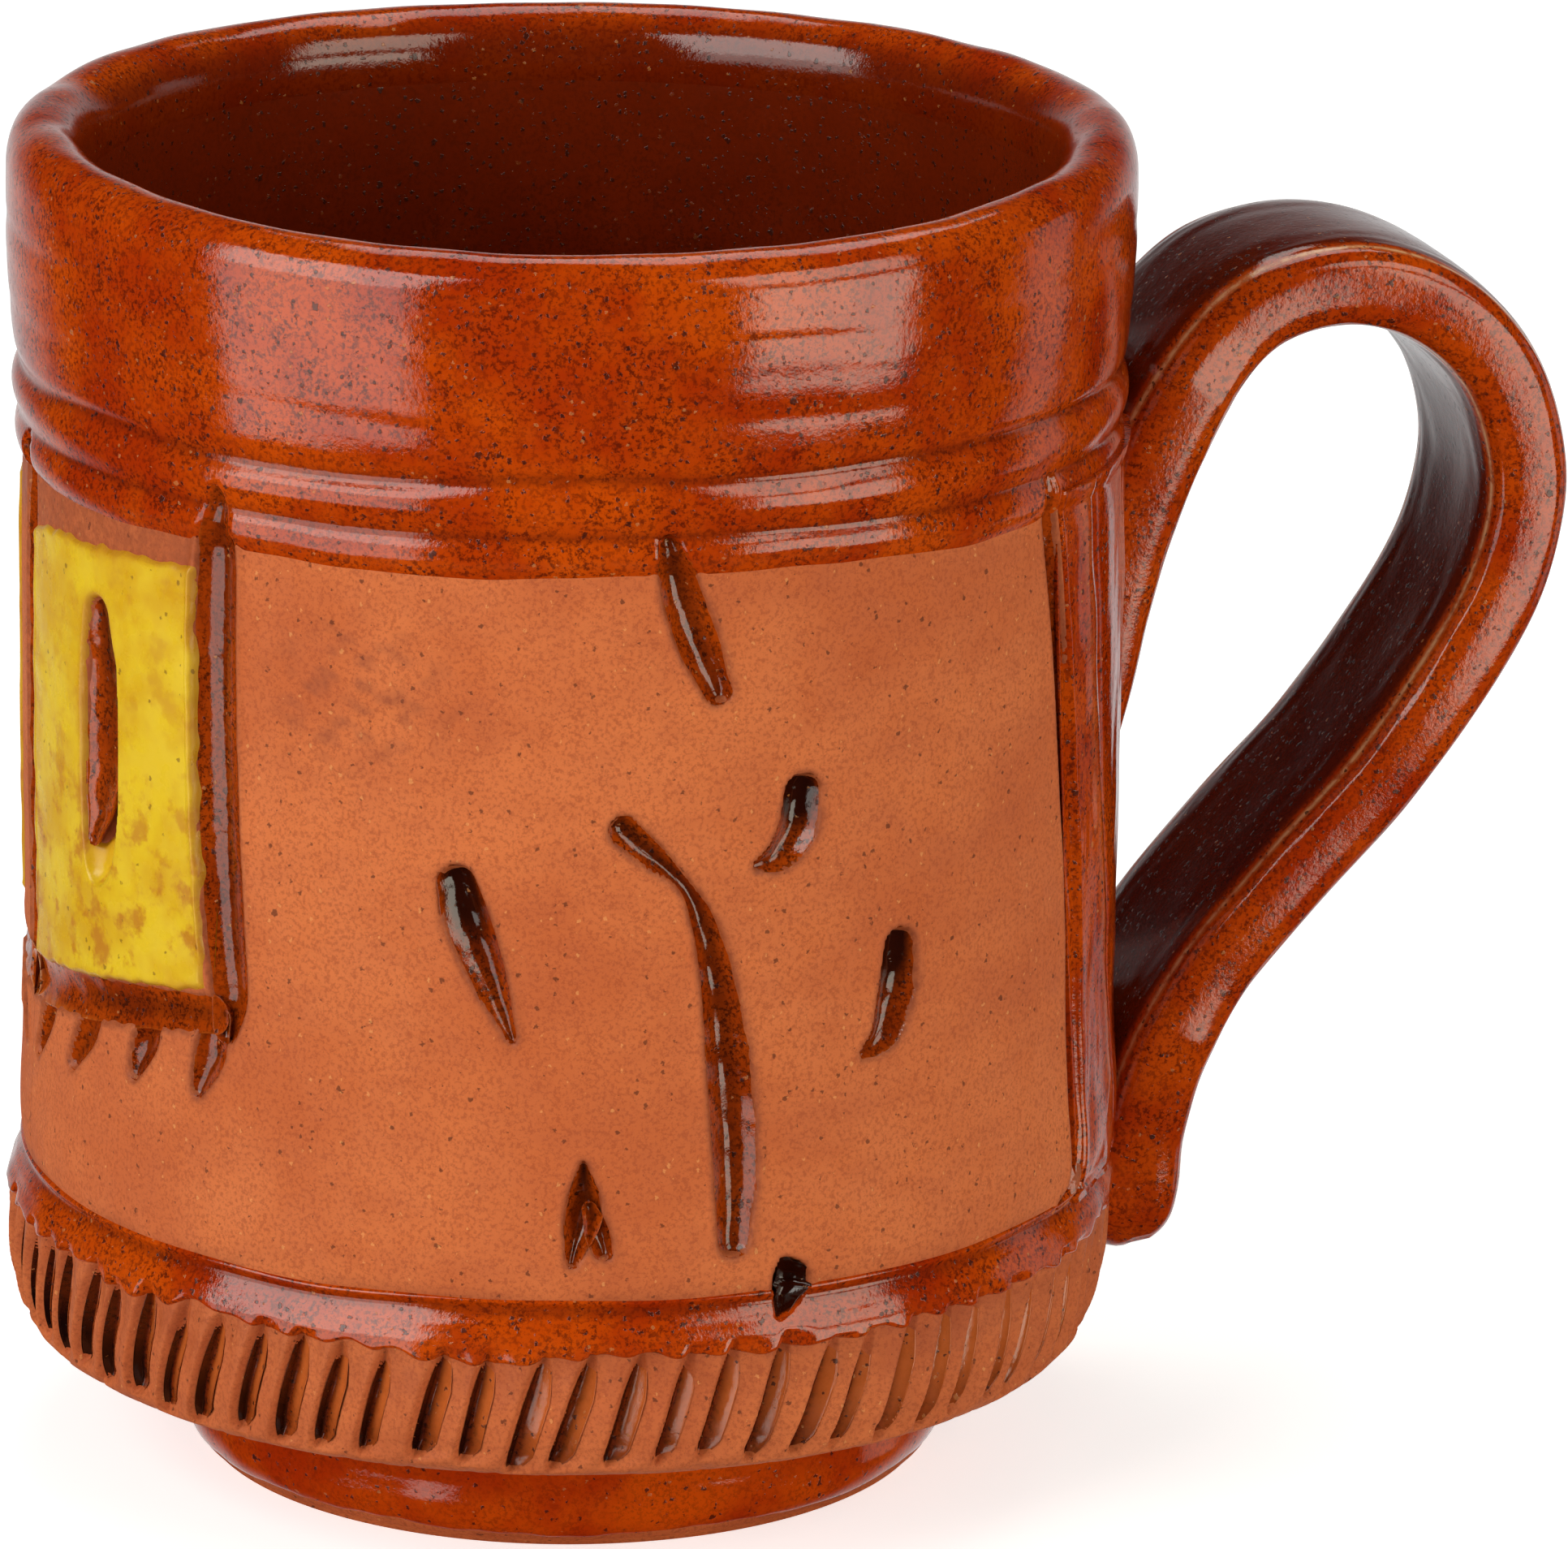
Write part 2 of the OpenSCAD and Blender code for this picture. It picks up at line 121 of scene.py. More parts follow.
def polar(radius: np.ndarray, angle: np.ndarray, height: np.ndarray) -> np.ndarray:
    """Turns places round the axis into points: radius times cosine, radius times sine, height.

    Args:
        radius: distance from the axis.
        angle: degrees round it.
        height: millimetres up.

    Returns:
        The points, last axis x, y, z.
    """
    turn = np.radians(angle)
    return np.stack(np.broadcast_arrays(radius * np.cos(turn), radius * np.sin(turn), height), axis=-1)


def smooth_line(points: tuple, count: int) -> np.ndarray:
    """Draws a smooth curve through points and spaces new points evenly along it.

    Between two points it is a cubic whose slopes there come from the points on either
    side; its length is then measured along short chords and shared out evenly.

    Args:
        points: rows of numbers; the first two are the place, the rest ride along.
        count: how many points to return.

    Returns:
        The new points, one row each.
    """
    p = np.asarray(points, float)
    held = np.vstack([2 * p[0] - p[1], p, 2 * p[-1] - p[-2]])
    last = len(p) - 1
    t = np.linspace(0, last, 24 * last + 1)
    i = np.minimum(t.astype(int), last - 1)
    f = (t - i)[:, None]
    a, b, c, d = held[i], held[i + 1], held[i + 2], held[i + 3]
    q = 0.5 * (2 * b + (c - a) * f + (2 * a - 5 * b + 4 * c - d) * f**2 + (3 * b - a - 3 * c + d) * f**3)
    run = np.concatenate([[0], np.cumsum(np.linalg.norm(np.diff(q[:, :2], axis=0), axis=1))])
    want = np.linspace(0, run[-1], count)
    return np.stack([np.interp(want, run, q[:, k]) for k in range(q.shape[1])], axis=1)


def ripple(
    angle: np.ndarray, height: np.ndarray, seed: int, size: float, flat: float = 1.0
) -> np.ndarray:
    """A gentle uneven field round the wall, from about -1 to 1.

    A sum of waves in many directions, each a whole number of times round the wall.

    Args:
        angle: degrees round the axis.
        height: millimetres up.
        seed: picks the waves.
        size: distance from hill to hill, in millimetres.
        flat: above 1 the hills are longer round the wall than up it.

    Returns:
        The field at each place.
    """
    rng = np.random.default_rng(seed)
    total = 0.0
    waves = 9
    for _ in range(waves):
        way = rng.uniform(0, math.pi)
        length = size * rng.uniform(0.7, 1.7)
        round_count = round(math.tau * WALL / (length * flat) * math.cos(way))
        up = math.tau / length * math.sin(way)
        total = total + np.sin(round_count * np.radians(angle) + up * height + rng.uniform(0, math.tau))
    return total / math.sqrt(waves) * 0.8


def both_ways(angle: np.ndarray) -> np.ndarray:
    """Mirrors the far side of the mug onto the near one, where the carving is laid out.

    Args:
        angle: degrees round the axis.

    Returns:
        The angle from -180 to 0 at the same distance from the handle.
    """
    opposite = np.abs(np.abs(angle) - HALF_TURN) < 1e-9
    return np.where(opposite, -HALF_TURN, -np.abs(wrapped(angle)))


def turned(outline: Pairs, count: int, angles: np.ndarray) -> np.ndarray:
    """Returns a smooth outline turned round the axis: angle by outline by x, y, z."""
    line = smooth_line(outline, count)
    return polar(line[None, :, 0], angles[:, None], line[None, :, 1])


def whole_turn(count: int) -> np.ndarray:
    """Returns evenly spaced angles all the way round."""
    return np.arange(count) * FULL_TURN / count - HALF_TURN


def backed(
    front: np.ndarray, back: Pairs, thick: np.ndarray | float = 0.0, near: np.ndarray | float = 0.0
) -> tuple[np.ndarray, np.ndarray]:
    """Closes the loops of a coat with a plain back that lies hidden in the clay.

    Args:
        front: points that show, first axis round the mug, second along the coat.
        back: radius and height of the back, from the coat's last point to its first.
        thick: how thin or deep the glaze lies at each point that shows.
        near: how near each point that shows is to an edge; on the glaze at and inside the cup's lip, its
            share of painted shade and light.

    Returns:
        The closed loops, and the shader's numbers at their points.
    """
    line = np.asarray(back)[None, :, :]
    angle = np.degrees(np.arctan2(front[:, :1, 1], front[:, :1, 0]))
    rings = np.concatenate([front, polar(line[..., 0], angle, line[..., 1])], axis=1)
    marks = np.zeros((*rings.shape[:2], len(Mark)))
    marks[:, : front.shape[1], 0] = thick
    marks[:, : front.shape[1], 1] = near
    return rings, marks


def closed(
    top: np.ndarray, low: np.ndarray, angle: np.ndarray, height: np.ndarray, thick: np.ndarray
) -> tuple[np.ndarray, np.ndarray]:
    """Joins a pool's face and its underside into closed loops.

    Args:
        top: the face's radius, first axis along the pool, second across it.
        low: the underside's radius.
        angle: degrees round the axis.
        height: millimetres up.
        thick: how thin or deep the glaze lies.

    Returns:
        The closed loops, and the shader's numbers at their points.
    """
    face, under = polar(top, angle, height), polar(low, angle, height)
    rings = np.concatenate([face, under[:, ::-1]], axis=1)
    marks = np.zeros((*rings.shape[:2], len(Mark)))
    marks[..., 0] = np.concatenate([thick, thick], axis=1)
    return rings, marks


@dataclass(frozen=True)
class Dent:
    """A shallow dent in the lip.

    angle: degrees round the axis. spread: half width in degrees. depth: millimetres.
    """

    angle: float
    spread: float
    depth: float


@dataclass(frozen=True)
class Throw:
    """The small unevenness that throwing and drying leave on the whole mug.

    dents: the lip's dents. dip: how far the lip hangs down at the front. pinch: how far
    the foot of the mug is pressed in, at pinch_angle and over pinch_spread degrees.
    cup: the radius of the cup; what lies farther out doesn't drop.
    """

    dents: tuple[Dent, ...] = (Dent(150.0, 6.0, 0.3), Dent(171.0, 5.0, 0.25), Dent(-32.0, 8.0, 0.25))
    dip: float = 2.15
    pinch: float = 1.25
    pinch_angle: float = -24.0
    pinch_spread: float = 26.0
    cup: float = 43.5

    def bend(self, points: np.ndarray) -> np.ndarray:
        """Moves points a little in and down; it never moves them out or up.

        The way in is a slow wave round the mug plus the pinch; the way down is a slow
        wave, the dip and the dents, and grows from the beads up to the lip.

        Args:
            points: places in millimetres, last axis x, y, z.

        Returns:
            The moved places.
        """
        x, y, z = points[..., 0], points[..., 1], points[..., 2]
        radius = np.hypot(x, y)
        angle = np.degrees(np.arctan2(y, x))
        turn = np.radians(angle)
        inward = 0.05 + 0.03 * np.sin(2 * turn + 0.7 + z * 0.012) + 0.02 * np.sin(3 * turn - 0.9)
        aside = wrapped(angle - self.pinch_angle)
        low = ease(z, 3.0, 11.0) * (1.0 - ease(z, 16.0, 27.0)) * (radius < 46.0)
        inward = inward + self.pinch * hill(aside, 0.0, self.pinch_spread) * low
        scale = 1.0 - inward * ease(radius, 0.0, 25.0) * ease(z, 0.0, 12.0) / np.maximum(radius, 1.0)
        drop = 0.08 + 0.05 * np.sin(2 * turn + 1.9) + 0.03 * np.sin(5 * turn + 0.4)
        drop = drop + self.dip * np.maximum(np.cos(turn - math.radians(FRONT + 3.0)), 0.0) ** 1.2
        for dent in self.dents:
            away = wrapped(angle - dent.angle)
            drop = drop + dent.depth * hill(away, 0.0, dent.spread) * ease(z, 97.0, 104.5)
        lift = np.where(radius < self.cup, drop, 0.0) * np.clip((z - 87.0) / 17.0, 0.0, 1.0)
        return np.stack([x * scale, y * scale, z - lift], axis=-1)


class Surface:
    """One or several closed surfaces gathered into one mesh."""

    def __init__(self) -> None:
        """Starts with nothing in it: no points, no faces and no numbers for the shader."""
        self.points: list[np.ndarray] = []
        self.quads: list[np.ndarray] = []
        self.tris: list[np.ndarray] = []
        self.smooth: list[np.ndarray] = []
        self.marks: list[np.ndarray] = []
        self.count = 0

    def _add(
        self,
        points: np.ndarray,
        quads: np.ndarray,
        smooth: np.ndarray,
        tris: np.ndarray,
        marks: np.ndarray,
    ) -> None:
        """Keeps one closed surface, with its faces turned outward.

        The sum of the corners' triple products is six times the volume inside; where it
        is below 0 the faces look inward and are turned round.

        Args:
            points: its points.
            quads: four point numbers for each four-sided face.
            smooth: whether each of those is shaded smooth.
            tris: three point numbers for each three-sided face.
            marks: the shader's numbers at each point.
        """
        a, b, c, d = (points[quads][:, k] for k in range(4))
        volume = np.einsum("ij,ij->", a, np.cross(b, c)) + np.einsum("ij,ij->", a, np.cross(c, d))
        if len(tris):
            e, f, g = (points[tris][:, k] for k in range(3))
            volume += np.einsum("ij,ij->", e, np.cross(f, g))
        if volume < 0:
            quads, tris = quads[:, ::-1], tris[:, ::-1]
        self.points.append(points)
        self.quads.append(quads + self.count)
        self.tris.append(tris + self.count)
        self.smooth.append(smooth)
        self.marks.append(marks)
        self.count += len(points)

    def loops(
        self, rings: np.ndarray, capped: bool, marks: np.ndarray, shown: int | None = None
    ) -> Surface:
        """Adds a surface made of closed loops of points.

        Args:
            rings: points, first axis from loop to loop, second axis round a loop.
            capped: close both ends with a fan; otherwise the last loop joins the first.
            marks: numbers for the shader at each point, last axis two long.
            shown: how many points of each loop belong to the part that shows.

        Returns:
            This surface.
        """
        n, m = rings.shape[:2]
        index = np.arange(n * m).reshape(n, m)
        across = np.roll(index, -1, axis=1)
        if capped:
            a, an, b, bn = index[:-1], across[:-1], index[1:], across[1:]
        else:
            a, an, b, bn = index, across, np.roll(index, -1, axis=0), np.roll(across, -1, axis=0)
        quads = np.stack([a, an, bn, b], axis=-1).reshape(-1, 4)
        smooth = np.broadcast_to(np.arange(m) < (m if shown is None else shown - 1), a.shape).ravel()
        points, values = rings.reshape(-1, 3), marks.reshape(-1, len(Mark))
        tris = np.zeros((0, 3), int)
        if capped:
            ends = np.stack([0.5 * (r.min(axis=0) + r.max(axis=0)) for r in (rings[0], rings[-1])])
            points = np.vstack([points, ends])
            values = np.vstack([values, values[:1], values[-1:]])
            first = np.stack([across[0], index[0], np.full(m, n * m)], axis=-1)
            last = np.stack([index[-1], across[-1], np.full(m, n * m + 1)], axis=-1)
            tris = np.vstack([first, last])
        self._add(points, quads, smooth, tris, values)
        return self

    def coat(
        self,
        front: np.ndarray,
        back: Pairs,
        capped: bool,
        thick: np.ndarray | float = 0.0,
        near: np.ndarray | float = 0.0,
    ) -> Surface:
        """Adds a coat whose face shows and whose back lies hidden in the clay.

        Args:
            front: points that show, first axis round the mug, second along the coat.
            back: radius and height of the back, from the coat's last point to its first.
            capped: it ends at its first and last angle; otherwise it runs all the way round.
            thick: how thin or deep the glaze lies at each point that shows.
            near: how near each point that shows is to an edge; on the glaze at and inside the cup's lip, its
                share of painted shade and light.

        Returns:
            This surface.
        """
        rings, marks = backed(front, back, thick, near)
        return self.loops(rings, capped, marks, front.shape[1])

    def spindle(
        self, rings: np.ndarray, start: float, end: float, marks: np.ndarray | None = None
    ) -> Surface:
        """Adds a surface that runs round the axis and is closed by a point at each end.

        Args:
            rings: points, first axis round the mug, second axis along the outline.
            start: height on the axis of the point before each outline's first.
            end: height on the axis of the point after each outline's last.
            marks: numbers for the shader at each point, last axis two long.

        Returns:
            This surface.
        """
        n, m = rings.shape[:2]
        index = np.arange(n * m).reshape(n, m)
        nxt = np.roll(index, -1, axis=0)
        quads = np.stack([index[:, :-1], index[:, 1:], nxt[:, 1:], nxt[:, :-1]], axis=-1).reshape(-1, 4)
        points = np.vstack([rings.reshape(-1, 3), [(0.0, 0.0, start), (0.0, 0.0, end)]])
        values = np.zeros((n * m, len(Mark))) if marks is None else marks.reshape(-1, len(Mark))
        values = np.vstack([values, values[:1], values[-1:]])
        first = np.stack([index[:, 0], nxt[:, 0], np.full(n, n * m)], axis=-1)
        last = np.stack([nxt[:, -1], index[:, -1], np.full(n, n * m + 1)], axis=-1)
        self._add(points, quads, np.ones(len(quads), bool), np.vstack([first, last]), values)
        return self

    def mesh(self, name: str) -> bpy.types.Mesh:
        """Writes the gathered surfaces, warped by the throwing, into a mesh.

        Args:
            name: the mesh's name.

        Returns:
            The mesh, with the shader's numbers on its points.
        """
        points = Throw().bend(np.vstack(self.points)) * MM
        quads, tris = np.vstack(self.quads), np.vstack(self.tris)
        mesh = bpy.data.meshes.new(name)
        mesh.vertices.add(len(points))
        mesh.vertices.foreach_set("co", points.astype(np.float32).ravel())
        corner = np.concatenate([quads.ravel(), tris.ravel()]).astype(np.int32)
        mesh.loops.add(len(corner))
        mesh.loops.foreach_set("vertex_index", corner)
        starts = np.concatenate([np.arange(len(quads)) * 4, len(quads) * 4 + np.arange(len(tris)) * 3])
        mesh.polygons.add(len(starts))
        mesh.polygons.foreach_set("loop_start", starts.astype(np.int32))
        mesh.polygons.foreach_set("use_smooth", np.concatenate([*self.smooth, np.zeros(len(tris), bool)]))
        values = np.vstack(self.marks).astype(np.float32)
        for column, mark in enumerate(Mark):
            layer = mesh.attributes.new(mark.value, "FLOAT", "POINT")
            layer.data.foreach_set("value", np.ascontiguousarray(values[:, column]))
        mesh.update(calc_edges=True)
        mesh.validate()
        return mesh


@dataclass(frozen=True)
class Part:
    """A sub-assembly of the mug, with the materials that dress it."""

    materials: dict[Finish, bpy.types.Material]

    def piece(self, name: str, surface: Surface, finish: Finish, node: str) -> bpy.types.Object:
        """Makes a piece of a surface and ties it to the construction.

        Args:
            name: the piece's name.
            surface: its surface.
            finish: its finish.
            node: the construction node it stands for.

        Returns:
            The new object.
        """
        mesh = surface.mesh(name)
        mesh.materials.append(self.materials[finish])
        piece = bpy.data.objects.new(name, mesh)
        bpy.context.scene.collection.objects.link(piece)
        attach(piece, "root")
        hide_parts(node)
        return piece


@dataclass(frozen=True)
class Stroke:
    """A mark carved in the wall.

    points: angle in degrees, height and half width in millimetres, along the mark.
    depth: the deepest cut. burr: how high the clay is pushed up beside it.
    dark: how dark its first end is; below 0 it is pale. bowl: low for a flat floor.
    into: the mark that it opens into.
    """

    points: tuple[tuple[float, float, float], ...]
    depth: float
    burr: float = 0.1
    dark: float = 0.0
    bowl: float = 0.9
    into: Stroke | None = None

    def line(self, count: int) -> np.ndarray:
        """Returns points along it: distance round the wall, height, half width."""
        flat = [(math.radians(a) * WALL, z, w) for a, z, w in self.points]
        return smooth_line(flat, count)

    def reach(self, angle: np.ndarray, height: np.ndarray) -> tuple[np.ndarray, np.ndarray]:
        """How far places are from the mark's middle line.

        Args:
            angle: degrees round the axis.
            height: millimetres up.

        Returns:
            The distance in half widths, and the half width there; 9 and 1 where far away.
        """
        line = self.line(140)
        s = np.radians(angle) * WALL
        margin = 2.5
        lo, hi = line[:, :2].min(axis=0) - margin, line[:, :2].max(axis=0) + margin
        s, z = np.broadcast_arrays(s, height)
        share, width = np.full(s.shape, 9.0), np.ones(s.shape)
        inside = (s > lo[0]) & (s < hi[0]) & (z > lo[1]) & (z < hi[1])
        if not inside.any():
            return share, width
        gap = np.hypot(s[inside][:, None] - line[:, 0], z[inside][:, None] - line[:, 1])
        nearest = np.argmin(gap - line[:, 2], axis=1)
        rows = np.arange(len(nearest))
        width[inside] = line[nearest, 2]
        share[inside] = gap[rows, nearest] / line[nearest, 2]
        return share, width

    def fill(self, width: np.ndarray) -> np.ndarray:
        """Returns how deep the mark is at a half width, as a share of its deepest."""
        fullest = max(w for _, _, w in self.points)
        return np.minimum(1.0, width / fullest) ** 0.7

    def cut(self, angle: np.ndarray, height: np.ndarray) -> tuple[np.ndarray, np.ndarray]:
        """The shape that the mark leaves in the wall: a bowl with a low burr round it.

        Args:
            angle: degrees round the axis.
            height: millimetres up.

        Returns:
            How far the wall moves out (inside the mark it moves in), and how near
            the mark's edge is, from 0 to 1.
        """
        share, width = self.reach(angle, height)
        bowl = np.clip(1.0 - share**2, 0.0, 1.0) ** 0.7
        past = (share - 1.0) * width
        burr = self.burr * hill(past, 0.35, 0.3) * ease(share, 0.95, 1.1)
        move = burr - self.depth * self.fill(width) * bowl
        return move, hill(np.maximum(past, 0.0), 0.0, 0.35) * (share < 8.0)


SHOULDER_GOUGE = Stroke(
    ((-82.0, 26.4, 0.5), (-81.2, 25.0, 1.5), (-81.7, 23.7, 0.9), (-82.7, 22.5, 0.3)), 2.0, dark=3.0
)
LEDGE = Stroke(
    ((-180.0, 39.6, 1.7), (-166.0, 40.9, 1.7), (-152.0, 42.5, 1.6), (-143.0, 43.4, 1.4)), 0.7, 0.05, -0.5
)


@dataclass(frozen=True)
class Wall:
    """The mug's outer wall: its outline, its unevenness and its carving.

    outline: radius and height. ticks: the strokes in the bare field. border: the groove
    beside the handle. frames: the upright grooves beside the panels. ledge and fringe:
    the groove under them and its short cuts. slit: the cut in a panel, and slit_glaze
    the pool in it.
    """

    outline: Pairs = (
        (41.75, 23.0), (41.95, 23.5), (42.25, 24.2), (42.44, 25.4), (42.5, 27.0),
        (42.42, 29.2), (42.24, 32.0), (42.1, 35.5), (42.02, 40.0), (42.0, 50.0), (42.02, 60.0),
        (42.0, 70.0), (41.92, 76.0), (41.86, 79.0), (41.86, 82.0),
    )
    ticks: tuple[Stroke, ...] = (
        Stroke(
            ((-94.6, 81.6, 0.9), (-93.3, 78.0, 1.5), (-91.6, 74.4, 1.6), (-89.6, 70.8, 1.15)),
            1.8, dark=0.05,
        ),
        Stroke(
            ((-80.4, 62.4, 1.5), (-80.9, 59.8, 1.6), (-82.7, 57.9, 1.2), (-85.2, 57.2, 0.4)),
            1.8, dark=0.5,
        ),
        Stroke(
            ((-68.7, 49.5, 1.4), (-68.9, 46.2, 1.75), (-70.3, 42.9, 1.3), (-73.0, 41.6, 0.3)),
            1.75, dark=0.45,
        ),
        Stroke(
            ((-115.5, 56.2, 1.4), (-114.5, 53.4, 1.75), (-112.4, 49.2, 1.4), (-110.0, 44.6, 0.4)),
            1.8, dark=0.45,
        ),
        Stroke(
            (
                (-98.9, 60.4, 1.15), (-96.4, 58.7, 1.0), (-92.9, 56.2, 0.55), (-90.8, 53.2, 0.95),
                (-89.2, 48.5, 1.35), (-87.9, 41.5, 1.75), (-87.2, 34.5, 1.75), (-87.4, 28.6, 1.25),
            ),
            1.75, dark=0.12,
        ),
        Stroke(((-102.7, 34.9, 0.3), (-102.7, 31.3, 1.35), (-103.8, 27.6, 0.5)), 1.9, dark=0.2),
        Stroke(((-102.1, 31.6, 0.5), (-101.3, 29.9, 0.9), (-100.7, 28.4, 0.75)), 1.3, dark=0.1),
    )
    border: Stroke = Stroke(
        (
            (-46.6, 82.0, 0.5), (-46.6, 79.0, 0.9), (-43.8, 68.5, 1.1), (-40.8, 55.0, 1.2),
            (-38.9, 42.0, 1.25), (-38.0, 30.0, 1.25), (-38.6, 25.4, 0.9), (-41.5, 24.2, 0.4),
        ),
        1.3,
    )
    frames: tuple[Stroke, ...] = (
        Stroke(
            (
                (-141.9, 83.6, 0.5), (-142.2, 80.8, 1.2), (-142.5, 77.5, 1.9), (-142.6, 65.0, 2.05),
                (-141.6, 51.0, 1.95), (-140.9, 45.5, 1.7), (-141.4, 42.6, 1.2),
            ),
            1.45, 0.2,
        ),
        Stroke(
            ((-180.0, 81.0, 0.5), (-180.0, 77.0, 1.8), (-180.0, 44.0, 1.8), (-180.0, 39.0, 0.7)),
            1.25, 0.05,
        ),
    )
    ledge: Stroke = LEDGE
    fringe: tuple[Stroke, ...] = (
        Stroke(
            ((-142.8, 43.2, 1.3), (-143.4, 40.4, 1.45), (-145.0, 37.4, 0.7)),
            1.15, 0.15, -0.45, into=LEDGE,
        ),
        Stroke(
            ((-151.7, 42.2, 1.2), (-152.9, 39.8, 1.4), (-154.7, 37.0, 0.65)),
            1.1, 0.15, -0.45, into=LEDGE,
        ),
        Stroke(
            ((-161.8, 41.0, 1.2), (-163.7, 38.5, 1.35), (-166.8, 35.4, 0.65)),
            1.1, 0.15, -0.45, into=LEDGE,
        ),
        Stroke(
            ((-172.0, 39.8, 1.1), (-174.1, 37.4, 1.25), (-177.0, 34.2, 0.6)),
            1.0, 0.15, -0.45, into=LEDGE,
        ),
    )
    slit: Stroke = Stroke(
        (
            (-160.7, 71.2, 1.5), (-160.3, 66.0, 2.55), (-160.1, 59.0, 2.7),
            (-160.6, 53.4, 2.1), (-161.1, 51.8, 1.4),
        ),
        1.7, 0.0,
    )
    slit_glaze: Stroke = Stroke(
        (
            (-160.7, 71.2, 1.5), (-160.3, 66.0, 2.55), (-160.3, 60.5, 2.5),
            (-161.2, 56.6, 1.7), (-162.4, 53.9, 0.6),
        ),
        1.75, 0.0, 0.12, 0.6,
    )

    def every(self) -> tuple[Stroke, ...]:
        """Returns every mark in the clay."""
        return (*self.ticks, self.border, *self.frames, self.ledge, *self.fringe, self.slit, SHOULDER_GOUGE)

    def base(self, angle: np.ndarray, height: np.ndarray) -> np.ndarray:
        """The uncarved wall: its outline with two fields of gentle hills on it.

        Args:
            angle: degrees round the axis.
            height: millimetres up.

        Returns:
            The radius.
        """
        line = smooth_line(self.outline, 200)
        radius = np.interp(height, line[:, 1], line[:, 0])
        return radius + 0.06 * ripple(angle, height, 3, 22.0, 1.6) + 0.02 * ripple(angle, height, 4, 5.0, 2.5)

    def clay(self, angle: np.ndarray, height: np.ndarray) -> tuple[np.ndarray, np.ndarray]:
        """The carved clay: the deepest cut holds, and outside the cuts the highest burr.

        Args:
            angle: degrees round the axis.
            height: millimetres up.

        Returns:
            The radius, and how near a mark's edge or a smudge is.
        """
        near = both_ways(angle)
        deepest, burr, edge = 0.0, 0.0, 0.0
        for stroke in self.every():
            move, close = stroke.cut(near, height)
            deepest = np.minimum(deepest, move)
            burr = np.maximum(burr, move)
            edge = np.maximum(edge, close)
        move = np.where(deepest < -0.02, deepest, burr)
        over_panel = 0.75 * ease(-near, 143.0, 145.0) * ease(height, 73.0, 76.5)
        away = ((near + 125.5) / 10.0) ** 2 + ((height - 69.5) / 5.5) ** 2
        smudge = 0.8 * np.exp(-(away**1.5)) * ease(ripple(near, height, 5, 2.2), -0.2, 0.9)
        low = 0.5 * hill(height, 24.5, 0.7) * ease(ripple(near, 0.0, 6, 12.0), -1.0, 0.6)
        stain = np.maximum(np.maximum(over_panel, low), smudge)
        return self.base(near, height) + move, np.maximum(edge, stain)


@dataclass(frozen=True)
class Collar:
    """The outside of the glaze at both ends of the wall.

    outline: radius and height from the wall's top over the beads, the collar and the lip
    to the inside. shoulder: the same from the wall's foot down over the band's top.
    lip: how many points of the outline lie outside.
    """

    outline: Pairs = (
        (41.55, 78.7), (41.8, 79.2), (42.08, 79.7), (42.3, 80.4), (42.32, 81.2), (42.1, 81.9),
        (41.98, 82.3), (42.15, 82.8), (42.45, 83.6), (42.58, 84.3), (42.5, 85.1), (42.2, 85.8),
        (41.95, 86.3), (42.02, 86.8), (42.28, 87.4), (42.45, 88.6), (42.62, 90.9), (42.76, 93.2),
        (42.85, 95.4), (42.87, 98.2), (42.86, 100.6), (42.76, 102.2), (42.3, 103.6), (41.45, 104.55),
        (40.4, 104.95), (39.3, 104.85), (38.3, 104.3), (37.45, 103.3), (36.95, 102.0), (36.75, 100.4),
        (36.8, 99.2), (37.1, 97.8),
    )
    shoulder: Pairs = (
        (42.9, 24.7), (42.4, 24.15), (42.16, 23.6), (42.5, 22.9), (42.95, 22.2), (43.32, 21.2),
        (43.45, 20.4), (43.4, 19.4), (43.3, 18.6),
    )
    lip: int = 22

    def skin(self, angle: np.ndarray, height: np.ndarray) -> np.ndarray:
        """The outside below the lip, uncarved: whichever of glaze and clay stands farther out.

        Args:
            angle: degrees round the axis.
            height: millimetres up.

        Returns:
            The radius.
        """
        line = np.asarray(self.outline)[: self.lip]
        glazed = np.interp(height, line[:, 1], line[:, 0])
        wall = WALL_SHAPE.base(angle, height)
        foot = np.asarray(self.shoulder)[::-1]
        low = np.interp(height, foot[:, 1], foot[:, 0])
        above = np.where(height > 79.3, np.maximum(glazed, wall), wall)
        return np.where(height < 24.6, np.maximum(low, wall - 0.3), above)


WALL_SHAPE = Wall()
COLLAR_SHAPE = Collar()


